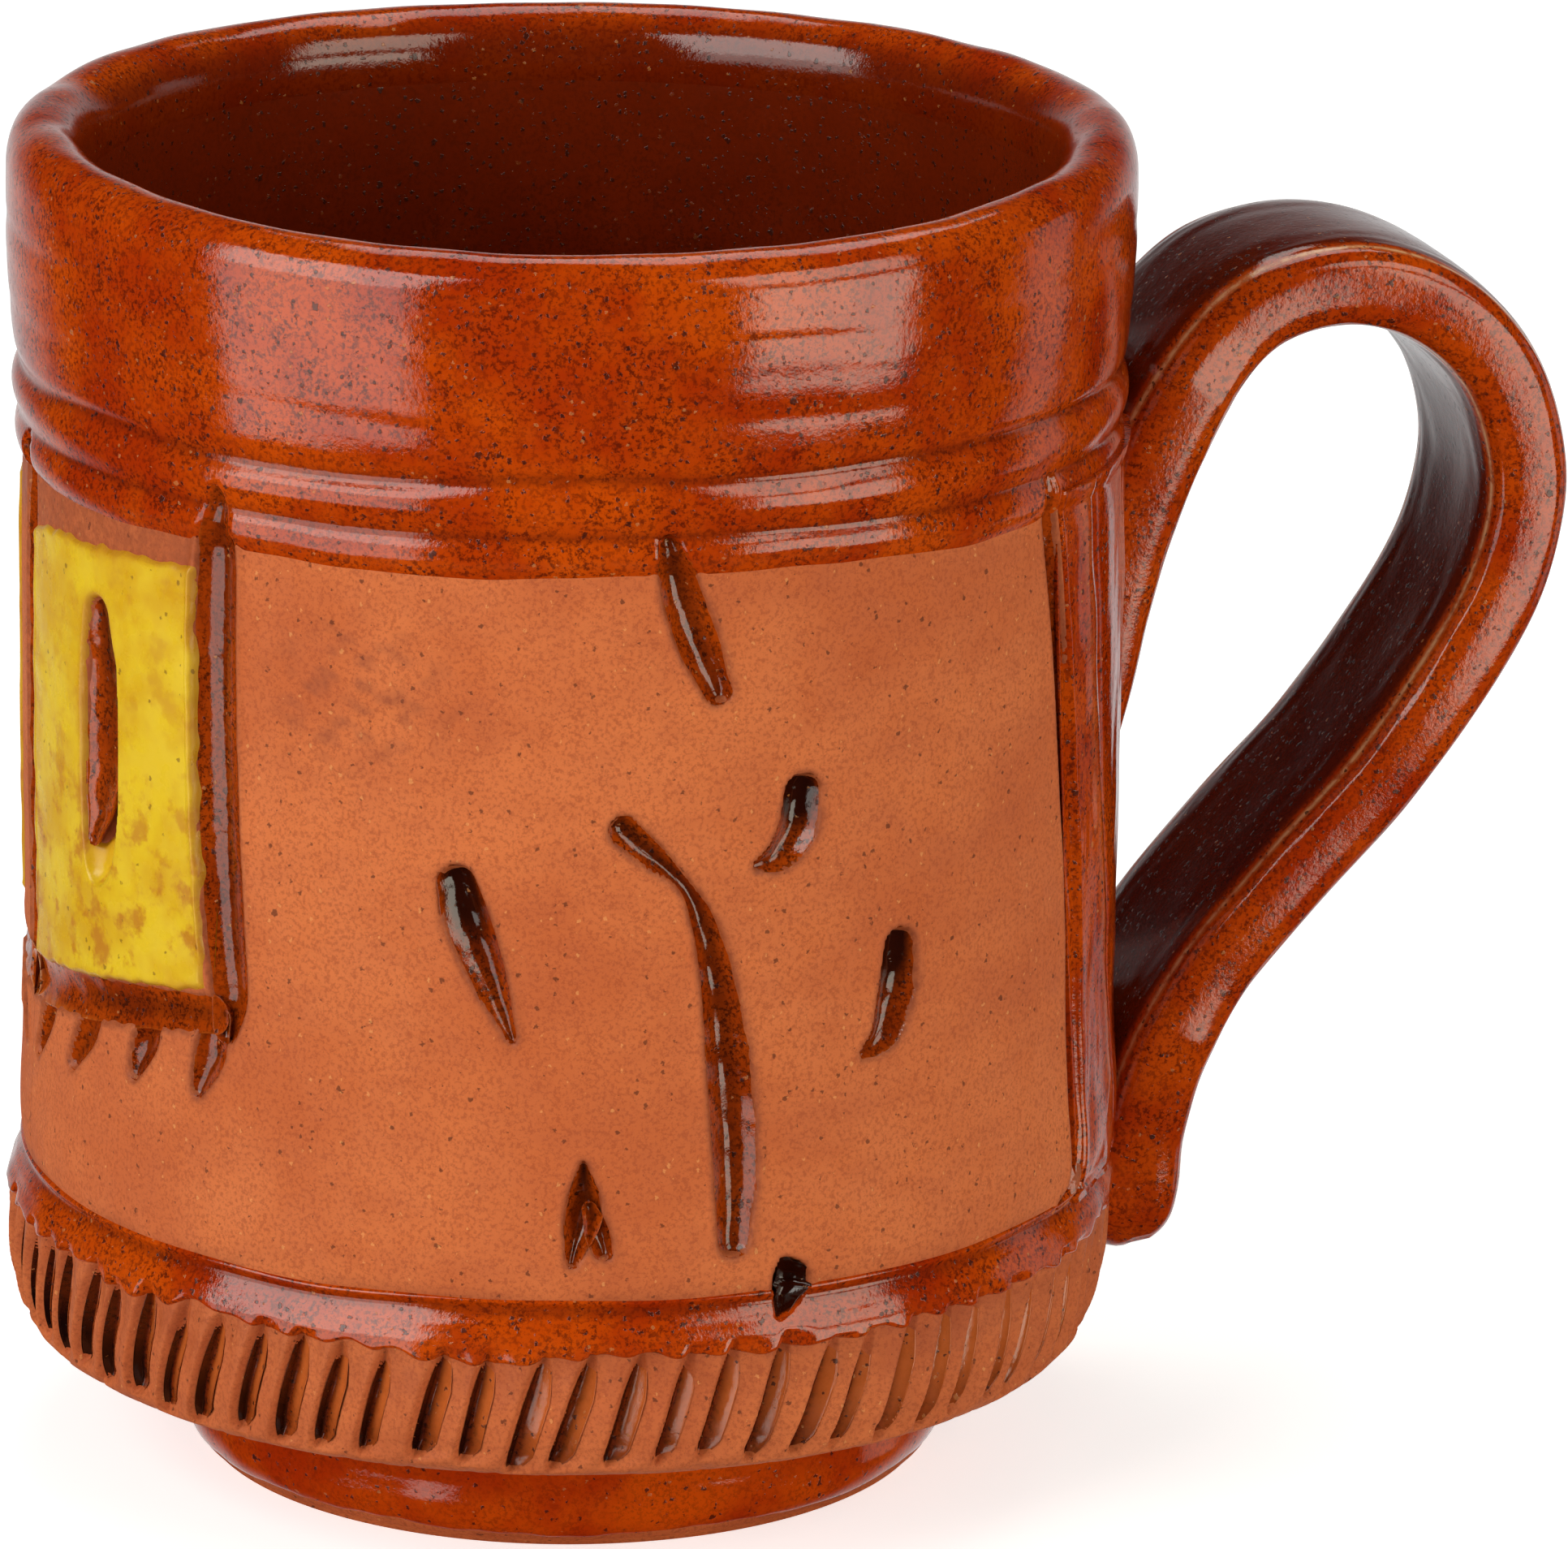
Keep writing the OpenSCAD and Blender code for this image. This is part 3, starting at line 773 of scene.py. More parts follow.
@dataclass(frozen=True)
class Cup(Part):
    """The thrown cup: its clay, its carved bare wall and the glaze inside.

    clay: radius and height of the clay's outline, up the inside, over the lip and down
    the outside to the underside. floor_top and floor_under: the floor's height at the
    axis. stations: angles where the wall's columns change their spacing, each with the
    columns up to the next. wall_foot and wall_top: the carved skin's lower and upper
    edge. glaze and glaze_back: the lining's face and its hidden back. clay_columns and
    wall_rows: points round the clay and up the skin. grid: the lining's points round the
    axis and along its outline.
    """

    clay: Pairs = (
        (0.5, 11.0), (31.0, 11.0), (34.6, 11.6), (36.6, 13.8), (37.1, 17.0), (37.1, 60.0),
        (37.1, 101.0), (37.5, 103.0), (39.3, 104.3), (40.6, 104.3), (42.0, 102.6), (42.3, 99.0),
        (42.0, 88.0), (41.5, 86.2), (41.5, 84.8), (RECESS, 84.6), (RECESS, 24.0), (41.0, 23.6),
        (41.0, 12.6), (39.2, 10.8), (34.0, 8.6), (30.0, 7.2), (0.5, 7.2),
    )
    floor_top: float = 11.0
    floor_under: float = 7.2
    stations: tuple[tuple[float, int], ...] = (
        (-180.0, 100), (-146.0, 45), (-138.0, 22), (-117.0, 230), (-66.0, 18), (-50.0, 60), (-35.0, 20),
    )
    wall_foot: float = 23.4
    wall_top: float = 80.6
    glaze: Pairs = (
        (0.6, 11.4), (16.0, 11.4), (27.0, 11.5), (31.6, 11.9), (34.6, 13.4), (36.2, 16.2),
        (36.66, 20.0), (36.7, 40.0), (36.72, 70.0), (36.7, 90.0), (36.78, 99.2), (37.15, 101.2),
    )
    glaze_back: Pairs = (
        (37.3, 100.9), (37.3, 60.0), (37.3, 17.0), (36.7, 13.2), (34.6, 11.2), (30.0, 10.8), (0.6, 10.8),
    )
    clay_columns: int = 240
    wall_rows: int = 176
    grid: tuple[int, int] = (300, 150)

    def core(self) -> bpy.types.Object:
        """The cup's clay under its coats: an outline turned round the axis.

        Returns:
            The new object.
        """
        line = np.asarray(self.clay)
        rings = polar(line[None, :, 0], whole_turn(self.clay_columns)[:, None], line[None, :, 1])
        surface = Surface().spindle(rings, self.floor_top, self.floor_under)
        # The outline has corners, so its faces are shaded flat
        surface.smooth[0][:] = False
        return self.piece("cup_clay", surface, Finish.CLAY, "body")

    def walls(self) -> list[bpy.types.Object]:
        """The carved bare wall, in two halves that meet under the handle and between the panels.

        Each is a grid of angle and height with the carved clay's radius.

        Returns:
            The new objects.
        """
        starts = [low for low, _ in self.stations] + [0.0]
        counts = np.concatenate([[0], np.cumsum([columns for _, columns in self.stations])])
        spread = np.interp(np.arange(counts[-1] + 1), counts, starts)
        back = [(RECESS, level) for level in np.linspace(self.wall_top, self.wall_foot, 8)]
        made = []
        for number, columns in enumerate((spread, -spread[::-1]), 1):
            angle, height = np.meshgrid(
                columns, np.linspace(self.wall_foot, self.wall_top, self.wall_rows), indexing="ij"
            )
            radius, edge = WALL_SHAPE.clay(angle, height)
            surface = Surface().coat(polar(radius, angle, height), back, True, near=edge)
            made.append(self.piece(f"carved_wall_{number}", surface, Finish.CLAY, "body"))
        return made

    def lining(self) -> bpy.types.Object:
        """The glaze inside the cup, from the lip down over the floor.

        Its outline turned round the axis, with gentle hills across the wall and the floor.

        Returns:
            The new object.
        """
        line = smooth_line(self.glaze, self.grid[1])
        radius, height = line[None, :, 0], line[None, :, 1]
        angle = whole_turn(self.grid[0])[:, None]
        throw = 0.05 * ripple(angle, height, 11, 30.0, 3.0) + 0.03 * ripple(angle, height, 12, 5.0, 9.0)
        throw = throw * ease(radius, 4.0, 30.0) * (1.0 - ease(height, 92.0, 97.0))
        lift = 0.06 * ripple(angle, radius * 2.0, 13, 16.0) * ease(-height, -16.0, -12.0)
        front = polar(radius + throw, angle, height + lift * ease(radius, 2.0, 10.0))
        # Painted light and shade: the lining lightens towards the lip and stays darkest low in the cup
        rings, marks = backed(front, self.glaze_back, near=0.75 * ease(height, 72.0, 101.0))
        start, end = self.glaze[0][1], self.glaze_back[-1][1]
        surface = Surface().spindle(rings, start, end, marks)
        return self.piece("cup_lining", surface, Finish.LINING, "lining_glaze")

    def build(self) -> list[bpy.types.Object]:
        """Makes the cup's pieces."""
        return [self.core(), *self.walls(), self.lining()]


@dataclass(frozen=True)
class Coats(Part):
    """The glaze on both ends of the wall: the collar's coat and the shoulder's.

    Each coat's back is an outline of radius and height hidden in the clay, and its limit
    is the farthest that it stands from the axis. lines: height and depth of the lines
    that the throwing left on the collar. dips: height and width of the hollows at the
    beads, where the glaze lies deep. Each grid is a coat's points round the axis and
    along its outline.
    """

    collar_back: Pairs = (
        (38.2, 97.9), (38.4, 101.3), (39.6, 102.4), (40.6, 102.2), (41.0, 100.0), (41.0, 88.0), (39.4, 86.4),
        (39.2, 79.0),
    )
    collar_limit: float = 42.9
    lip_top: float = 105.0
    lines: Pairs = ((97.6, 0.08), (91.2, 0.05), (94.6, 0.02))
    dips: Pairs = ((82.3, 0.5), (86.4, 0.6))
    shoulder_back: Pairs = ((40.3, 18.8), (40.3, 21.6), (40.3, 24.4))
    shoulder_limit: float = 43.75
    collar_grid: tuple[int, int] = (800, 108)
    shoulder_grid: tuple[int, int] = (1300, 56)

    def collar(self) -> bpy.types.Object:
        """The glaze on the collar, beads and lip, cut by the marks that run up into it.

        Its outline turned round the axis; waves move its lower edge and beads up and
        down, and gentle hills and thrown lines move its face in and out.

        Returns:
            The new object.
        """
        line = smooth_line(COLLAR_SHAPE.outline, self.collar_grid[1])
        way_in, level = -line[None, :, 0], line[None, :, 1]
        angle = whole_turn(self.collar_grid[0])[:, None]
        height = level + 0 * angle
        low = 1.0 - ease(height, 80.5, 84.0)
        height = height + low * (0.22 * ripple(angle, 0.0, 21, 26.0) + 0.08 * ripple(angle, 0.0, 22, 7.0))
        outside = 1.0 - ease(way_in, -39.0, -37.0)
        height = height + hill(level, 86.3, 0.9) * outside * 0.35 * ripple(angle, 0.0, 23, 30.0)
        lumps = 0.06 * ripple(angle, height, 24, 16.0, 1.5) + 0.01 * ripple(angle, height, 25, 4.0, 2.5)
        sway = 0.5 * ripple(angle, 0.0, 27, 30.0)
        for place, depth in self.lines:
            lumps = lumps - depth * hill(height - place - sway, 0.0, 0.75)
        radius = np.minimum(line[None, :, 0] + lumps * outside, self.collar_limit)
        cut = 0.0
        for stroke in (WALL_SHAPE.ticks[0], *WALL_SHAPE.frames, WALL_SHAPE.border):
            move, _ = stroke.cut(both_ways(angle), height)
            cut = np.minimum(cut, move)
        front = polar(radius + np.where(height < 86.0, cut, 0.0), angle, height)
        front[..., 2] += 0.06 * ripple(angle, -3.0 * way_in, 26, 9.0) * ease(height, 103.5, 104.5)
        front[..., 2] = np.minimum(front[..., 2], self.lip_top)
        # Painted shade: the lip's inner side darkens towards the lining's colour
        inside = ease(way_in, -38.9, -36.8) * (level > 95.0)
        deep = sum(hill(level, place, width) for place, width in self.dips)
        bend = -0.55 * deep * outside + 0.25 * hill(level, 80.2, 0.7)
        surface = Surface().coat(front, self.collar_back, False, bend, inside)
        return self.piece("collar_coat", surface, Finish.AMBER, "collar_glaze")

    def shoulder(self) -> bpy.types.Object:
        """The glaze on the shoulder; its lower edge runs into the tops of the notches.

        Its outline turned round the axis. Below the shoulder it follows the notched
        band, and past a wavy edge it dips under the clay.

        Returns:
            The new object.
        """
        line = smooth_line(COLLAR_SHAPE.shoulder, self.shoulder_grid[1])
        angle = whole_turn(self.shoulder_grid[0])[:, None]
        share = np.linspace(0.0, 1.0, len(line))[None, :]
        height = line[None, :, 1] + 0.12 * ripple(angle, 0.0, 32, 18.0) * (1 - share)
        plain = BAND.plain(height, 160)
        notched = BAND.surface(angle, height, plain) - plain
        edge = 20.25 + 0.45 * ripple(angle, 0.0, 31, 17.0) + 0.22 * ripple(angle, 0.0, 34, 2.6)
        edge = edge - 0.12 * np.cos(np.radians(angle) * BAND.count)
        over = ease(share, 0.35, 0.6)
        on_band = ease(share, 0.2, 0.6)
        radius = line[None, :, 0] * (1 - over) + (plain + 0.3) * over + notched * on_band
        radius = radius - 0.7 * ease(-share, -0.1, 0.0) + 0.05 * ripple(angle, height, 33, 9.0, 1.6)
        radius = radius - 0.75 * (1.0 - ease(height - edge, -0.25, 0.4))
        gouge, _ = SHOULDER_GOUGE.cut(both_ways(angle), height)
        radius = np.minimum(radius + np.minimum(gouge, 0.0) * (1.0 - on_band), self.shoulder_limit)
        bend = 0.2 - 0.7 * hill(share, 0.22, 0.14)
        surface = Surface().coat(polar(radius, angle, height), self.shoulder_back, False, bend)
        return self.piece("shoulder_coat", surface, Finish.AMBER, "shoulder_glaze")

    def build(self) -> list[bpy.types.Object]:
        """Makes both coats."""
        return [self.collar(), self.shoulder()]


@dataclass
class Band:
    """The shape of the band round the mug's foot, with its leaning notches.

    count: notches in a full turn. outline: radius and height. middle: the height where
    the notches stand evenly. slant: their lean in degrees. steep and gentle: how wide
    their two sides are. full_width: the half width that is cut to the full depth.
    clear: half of the gap in them under the handle, in degrees.
    """

    count: int = 73
    outline: Pairs = (
        (41.2, 23.4), (42.2, 22.6), (42.9, 21.6), (43.25, 20.6), (43.45, 19.2), (43.58, 17.4),
        (43.6, 15.8), (43.45, 14.2), (43.1, 12.7), (42.4, 11.2), (41.3, 10.45), (39.4, 10.1), (38.6, 10.3),
    )
    middle: float = 16.4
    slant: float = 16.0
    steep: float = 0.5
    gentle: float = 2.1
    full_width: float = 0.62
    clear: float = 16.5

    def __post_init__(self) -> None:
        """Gives every notch its own size, lean and place."""
        rng = np.random.default_rng(71)
        self.lean = math.tan(math.radians(self.slant))
        self.place = (np.arange(self.count) + rng.uniform(-0.1, 0.1, self.count)) * FULL_TURN / self.count
        self.half = rng.uniform(0.52, 0.74, self.count)
        self.depth = rng.uniform(0.95, 1.3, self.count)
        self.top = rng.uniform(20.4, 21.6, self.count)
        self.foot = rng.uniform(10.7, 11.9, self.count)
        self.tilt = self.lean * rng.uniform(0.8, 1.2, self.count)
        self.kept = np.abs(wrapped(self.place)) > self.clear

    def plain(self, height: np.ndarray, count: int) -> np.ndarray:
        """The band without its notches.

        Args:
            height: millimetres up.
            count: how many points the outline is read at.

        Returns:
            The radius.
        """
        line = smooth_line(self.outline, count)
        order = np.argsort(line[:, 1])
        return np.interp(height, line[order, 1], line[order, 0])

    def middle_line(self, number: np.ndarray, height: np.ndarray) -> np.ndarray:
        """Returns the angle of a notch's middle at a height."""
        return self.place[number] + np.degrees((height - self.middle) * self.tilt[number] / WALL)

    def width(self, number: np.ndarray, height: np.ndarray) -> np.ndarray:
        """A notch's half width: full in the middle, none at its blunt foot and thin top.

        Args:
            number: the notch.
            height: millimetres up.

        Returns:
            The half width in millimetres.
        """
        span = (height - self.foot[number]) / (self.top[number] - self.foot[number])
        blunt = np.clip(span / 0.14, 0.0, 1.0) ** 0.5
        return self.half[number] * blunt * np.clip((1.0 - span) / 0.4, 0.0, 1.0) ** 0.55

    def surface(self, angle: np.ndarray, height: np.ndarray, radius: np.ndarray) -> np.ndarray:
        """The band's radius with notches cut in it and soft ridges left between them.

        Args:
            angle: degrees round the axis.
            height: millimetres up.
            radius: the plain band's radius.

        Returns:
            The radius.
        """
        lean = np.degrees((height - self.middle) * self.lean / WALL)
        guess = np.round((angle - lean) / FULL_TURN * self.count).astype(int)
        move = np.zeros(guess.shape)
        for step in (-1, 0, 1):
            number = (guess + step) % self.count
            across = np.radians(wrapped(angle - self.middle_line(number, height))) * WALL
            half = self.width(number, height)
            across = np.where(across < 0.0, across / self.steep, across / self.gentle)
            share = np.abs(across) / np.maximum(half, 1e-3)
            cut = -self.depth[number] * np.clip(1.0 - share, 0.0, 1.0) ** 0.75 * (half / self.full_width)
            past = np.maximum(np.abs(across) - half, 0.0)
            soft = -0.7 * hill(past, 0.0, 0.6) * np.clip(half / 0.5, 0, 1)
            here = np.where(share < 1.0, cut + soft, soft)
            move = np.minimum(move, np.where(self.kept[number], here, 0.0))
        crumbs = np.maximum(ripple(angle, height, 42, 1.5) - 0.3, 0.0) * (1.0 - ease(height, 11.0, 14.5))
        gouge, _ = SHOULDER_GOUGE.cut(both_ways(angle), height)
        return radius + move + np.minimum(gouge, 0.0) + 0.07 * ripple(angle, height, 41, 6.0) - 0.22 * crumbs


BAND = Band()


@dataclass(frozen=True)
class NotchedBand(Part):
    """The clay of the band round the mug's foot, cut with leaning notches.

    halves: first and last angle of each half, and its columns. rows: points along the
    band's outline. back: radius and height of the face that lies against the cup.
    """

    halves: tuple[tuple[float, float, int], ...] = ((-180.0, 0.0, 1250), (0.0, 180.0, 880))
    rows: int = 60
    back: Pairs = ((38.4, 10.6), (40.2, 12.0), (40.8, 16.0), (40.9, 23.2))

    def build(self) -> list[bpy.types.Object]:
        """The band's halves, which meet under the handle and opposite it.

        Each is the band's outline carried round the axis, cut by the notches.

        Returns:
            The new objects.
        """
        line = smooth_line(BAND.outline, self.rows)
        share = np.linspace(0.0, 1.0, len(line))[None, :]
        satin = 0.14 + 0.26 * (1.0 - ease(share, 0.2, 0.55))
        made = []
        for number, (low, high, columns) in enumerate(self.halves, 1):
            angle = np.linspace(low, high, columns)[:, None]
            radius = BAND.surface(angle, line[None, :, 1], line[None, :, 0])
            surface = Surface().coat(polar(radius, angle, line[None, :, 1]), self.back, True, satin)
            made.append(self.piece(f"notched_band_{number}", surface, Finish.CLAY, "notched_band"))
        return made


@dataclass(frozen=True)
class Foot(Part):
    """The turned foot and the glaze on it.

    clay: radius and height of the foot's outline. top: its height. glaze and glaze_back:
    the coat's face, from the foot's edge up to the band, and its hidden back. Each grid
    is points round the axis and along the outline.
    """

    clay: Pairs = (
        (0.6, 0.0), (26.0, 0.0), (27.9, 0.05), (28.9, 0.6),
        (29.6, 1.9), (29.7, 6.0), (29.0, 7.15), (0.6, 7.15),
    )
    top: float = 7.15
    glaze: Pairs = (
        (28.6, 0.45), (29.3, 1.0), (29.85, 1.9), (30.15, 3.0), (30.2, 4.4), (30.25, 5.6), (30.7, 6.8),
        (32.0, 7.7), (34.4, 8.55), (37.0, 9.3), (39.0, 10.2), (40.0, 11.3),
    )
    glaze_back: Pairs = (
        (38.8, 12.0), (34.0, 9.9), (30.0, 8.4), (28.6, 6.5), (28.4, 2.0), (27.7, 0.75),
    )
    clay_grid: tuple[int, int] = (200, 60)
    glaze_grid: tuple[int, int] = (600, 70)

    def body(self) -> bpy.types.Object:
        """The foot's clay: an outline turned round the axis.

        Returns:
            The new object.
        """
        columns, rows = self.clay_grid
        rings = turned(self.clay, rows, whole_turn(columns))
        rings[..., 2] = np.clip(rings[..., 2], 0.0, self.top)
        return self.piece("foot_clay", Surface().spindle(rings, 0.0, self.top), Finish.CLAY, "foot")

    def coat(self) -> bpy.types.Object:
        """The foot's glaze: an outline turned round the axis, with a wavy lower edge.

        Returns:
            The new object.
        """
        line = smooth_line(self.glaze, self.glaze_grid[1])
        angle, height = whole_turn(self.glaze_grid[0])[:, None], line[None, :, 1]
        share = np.linspace(0.0, 1.0, len(line))[None, :]
        lumps = 0.08 * ripple(angle, height, 51, 12.0, 2.0) + 0.03 * ripple(angle, height, 52, 4.0, 2.0)
        edge = 0.3 + 0.25 * ripple(angle, 0.0, 53, 18.0) + 0.12 * ripple(angle, 0.0, 54, 5.0)
        radius = line[None, :, 0] + lumps - 0.7 * (1.0 - ease(height - edge, 0.1, 0.9)) - 0.08
        # Painted light: the coat is lighter on the slope from the foot up to the band, for light bounced up
        # from the floor
        thick = 0.06 + 0.24 * ease(share, 0.45, 0.75) * (1 - ease(share, 0.9, 1.0))
        surface = Surface().coat(polar(radius, angle, height), self.glaze_back, False, thick)
        return self.piece("foot_coat", surface, Finish.FOOT, "foot_glaze")

    def build(self) -> list[bpy.types.Object]:
        """Makes the foot's clay and its glaze."""
        return [self.body(), self.coat()]


@dataclass(frozen=True)
class Handle(Part):
    """The strap handle, its glaze and the glazed patch of wall behind it.

    path: the strap's middle line, as shares of its length out from the wall and of its
    height over the field's foot. out and tall: those two lengths. width and thick: half of
    the strap's breadth and thickness. squareness: below 1 its section is squarer than an
    oval. tail: how long its rounded lower end is. clear: how near the axis its hidden
    ends may come. inset: how far its clay lies under the glaze. patch_side and
    patch_crease: half width in degrees of the patch and of the crease in it, by height.
    patch_back: radius and height of its hidden back. patch_limit: the farthest it stands
    from the axis. clay_grid and coat_grid: loops along the strap and points round each.
    patch_grid: the patch's points round the axis and up.
    """

    path: Pairs = (
        (-0.123, 0.556), (-0.083, 0.645), (-0.047, 0.745), (0.003, 0.85), (0.078, 0.969),
        (0.187, 1.079), (0.339, 1.159), (0.557, 1.184), (0.768, 1.143), (0.93, 1.044),
        (1, 0.901), (0.966, 0.765), (0.857, 0.64), (0.653, 0.47), (0.433, 0.332),
        (0.248, 0.206), (0.131, 0.085), (0.075, -0.029), (0.06, -0.11), (0.03, -0.165), (-0.01, -0.197),
    )
    out: float = 32.8
    tall: float = 55.4
    width: float = 10.5
    thick: float = 3.7
    squareness: float = 0.46
    tail: float = 4.5
    clear: float = 38.4
    inset: float = 0.45
    patch_side: Pairs = (
        (22.0, 37.0), (25.0, 37.0), (29.0, 36.6), (42.0, 37.4), (55.0, 39.3), (68.5, 42.4), (80.0, 45.2),
    )
    patch_crease: Pairs = (
        (22.0, 23.0), (39.2, 25.8), (53.2, 30.5), (66.6, 33.8), (78.5, 36.4), (81.0, 37.0),
    )
    patch_back: Pairs = ((40.6, 80.7), (40.6, 60.0), (40.6, 42.0), (40.6, 23.5))
    patch_limit: float = 42.95
    clay_grid: tuple[int, int] = (150, 48)
    coat_grid: tuple[int, int] = (400, 152)
    patch_grid: tuple[int, int] = (360, 190)

    def strap(self, inset: float, steps: int, sides: int) -> tuple[np.ndarray, np.ndarray]:
        """A flat oval swept along the handle's curve.

        The oval turns with the curve, swells a little where it joins the wall and is
        rounded off at its lower end.

        Args:
            inset: how far inside the glaze's surface, in millimetres.
            steps: loops along the strap.
            sides: points round a loop.

        Returns:
            The loops, and how thin the glaze lies at each point: over 1 it has run off, on the corners, with
            a painted highlight; below 0, on the broad faces, it is painted shade.
        """
        places = tuple((WALL + self.out * a, FIELD_FOOT + self.tall * b) for a, b in self.path)
        centre = smooth_line(places, steps)
        way = np.gradient(centre, axis=0)
        way /= np.linalg.norm(way, axis=1)[:, None]
        run = np.linspace(0.0, 1.0, steps)
        left = (1.0 - run) * np.linalg.norm(np.diff(centre, axis=0), axis=1).sum()
        rounding = np.clip((self.tail - left) / self.tail, 0.0, 0.985)
        tail = np.sqrt(np.clip(1.0 - rounding**2, 0.0, 1.0))
        turn = np.arange(sides) * math.tau / sides
        u = np.sign(np.cos(turn)) * np.abs(np.cos(turn)) ** self.squareness
        v = np.sign(np.sin(turn)) * np.abs(np.sin(turn)) ** self.squareness
        off_wall = np.clip(centre[:, 0] - WALL - 3.0, 0.0, 6.0)
        flare = 1.0 + 0.1 * (1.0 - off_wall / 6.0) ** 2
        width = (self.width - inset) * (0.96 + 0.03 * np.sin(run * 9.0 + 1.0)) * np.minimum(flare, 1.04)
        thick = (self.thick - inset) * (0.99 + 0.01 * np.sin(run * 14.0)) * flare
        hollow = 1.0 - 0.1 * (1.0 - v**2)[None, :] * ease(run, 0.2, 0.3)[:, None] * (u > 0)[None, :]
        across = (thick * tail)[:, None] * u[None, :] * hollow
        side = (width * (0.35 + 0.65 * tail))[:, None] * v[None, :]
        round_it, along = np.degrees(turn)[None, :], run[:, None] * 160.0
        lumps = 0.06 * ripple(round_it, along, 61, 26.0) + 0.02 * ripple(round_it, along, 63, 9.0)
        across = across + lumps * np.sign(u)[None, :]
        x = np.minimum(centre[:, 0, None] + way[:, 1, None] * across, REACH)
        z = centre[:, 1, None] - way[:, 0, None] * across
        side = side + 0.12 * ripple(0 * round_it, along, 62, 22.0)
        radius = np.hypot(x, side)
        keep_out = np.maximum(radius, self.clear) / np.maximum(radius, 1e-6)
        # The glaze's mark: on the corners a pale line where it runs off, partly a painted highlight; on the
        # broad inner and outer faces, darkening that is painted shade
        corner = hill(np.abs(u) - np.abs(v), 0.0, 0.07)
        broad_face_shade = ease(np.abs(u) - np.abs(v), 0.0, 0.2) * 0.8
        edge = (1.6 * corner - broad_face_shade)[None, :] + 0 * x
        return np.stack([x * keep_out, side * keep_out, z], axis=-1), edge

    def straps(self) -> list[bpy.types.Object]:
        """The strap's clay, and the same sweep a little larger for its coat.

        Returns:
            The new objects.
        """
        made = []
        for name, finish, node, inset, grid in (
            ("strap_clay", Finish.CLAY, "handle", self.inset, self.clay_grid),
            ("strap_coat", Finish.AMBER, "handle_glaze", 0.0, self.coat_grid),
        ):
            rings, edge = self.strap(inset, *grid)
            marks = np.zeros((*edge.shape, len(Mark)))
            # The coat carries the painted highlight on its corners and the painted shade on its broad faces
            if finish is Finish.AMBER:
                marks[..., 0] = edge
            surface = Surface().loops(rings, True, marks)
            made.append(self.piece(name, surface, finish, node))
        return made

    def patch(self) -> bpy.types.Object:
        """The glazed patch of wall behind the handle, thin on a ridge along each side.

        A grid of angle and height on the wall's outside; the coat dips under the clay at
        both side edges.

        Returns:
            The new object.
        """
        columns, rows = self.patch_grid
        height = np.linspace(23.3, 80.9, rows)[None, :]
        side = np.interp(height, *np.transpose(self.patch_side))
        angle = np.linspace(-1.0, 1.0, columns)[:, None] * side
        within = (side - np.abs(angle)) * PER_DEGREE
        crease = np.interp(height, *np.transpose(self.patch_crease))
        from_crease = (np.abs(angle) - crease) * PER_DEGREE
        ridge = 0.3 * hill(from_crease, 1.8, 1.4) - 0.35 * hill(from_crease, 0.0, 0.55)
        bulge = 0.12 * (1.0 - ease(from_crease, -3.5, -0.3))
        coat = 0.33 * ease(within, 0.05, 0.5) - 0.35 * (1.0 - ease(within, 0.0, 0.12))
        lumps = 0.06 * ripple(angle, height, 71, 9.0) + 0.04 * ripple(angle * 2.0, height * 0.3, 72, 6.0)
        base = COLLAR_SHAPE.skin(both_ways(angle), height)
        radius = base + coat + (ridge + bulge + lumps) * ease(within, 0.2, 1.2)
        front = polar(np.minimum(radius, self.patch_limit), angle, height)
        thin = 0.45 * hill(from_crease, 2.2, 1.2)
        surface = Surface().coat(front, self.patch_back, True, thin)
        return self.piece("patch_coat", surface, Finish.AMBER, "handle_patch_glaze")

    def build(self) -> list[bpy.types.Object]:
        """Makes the handle's pieces."""
        return [*self.straps(), self.patch()]


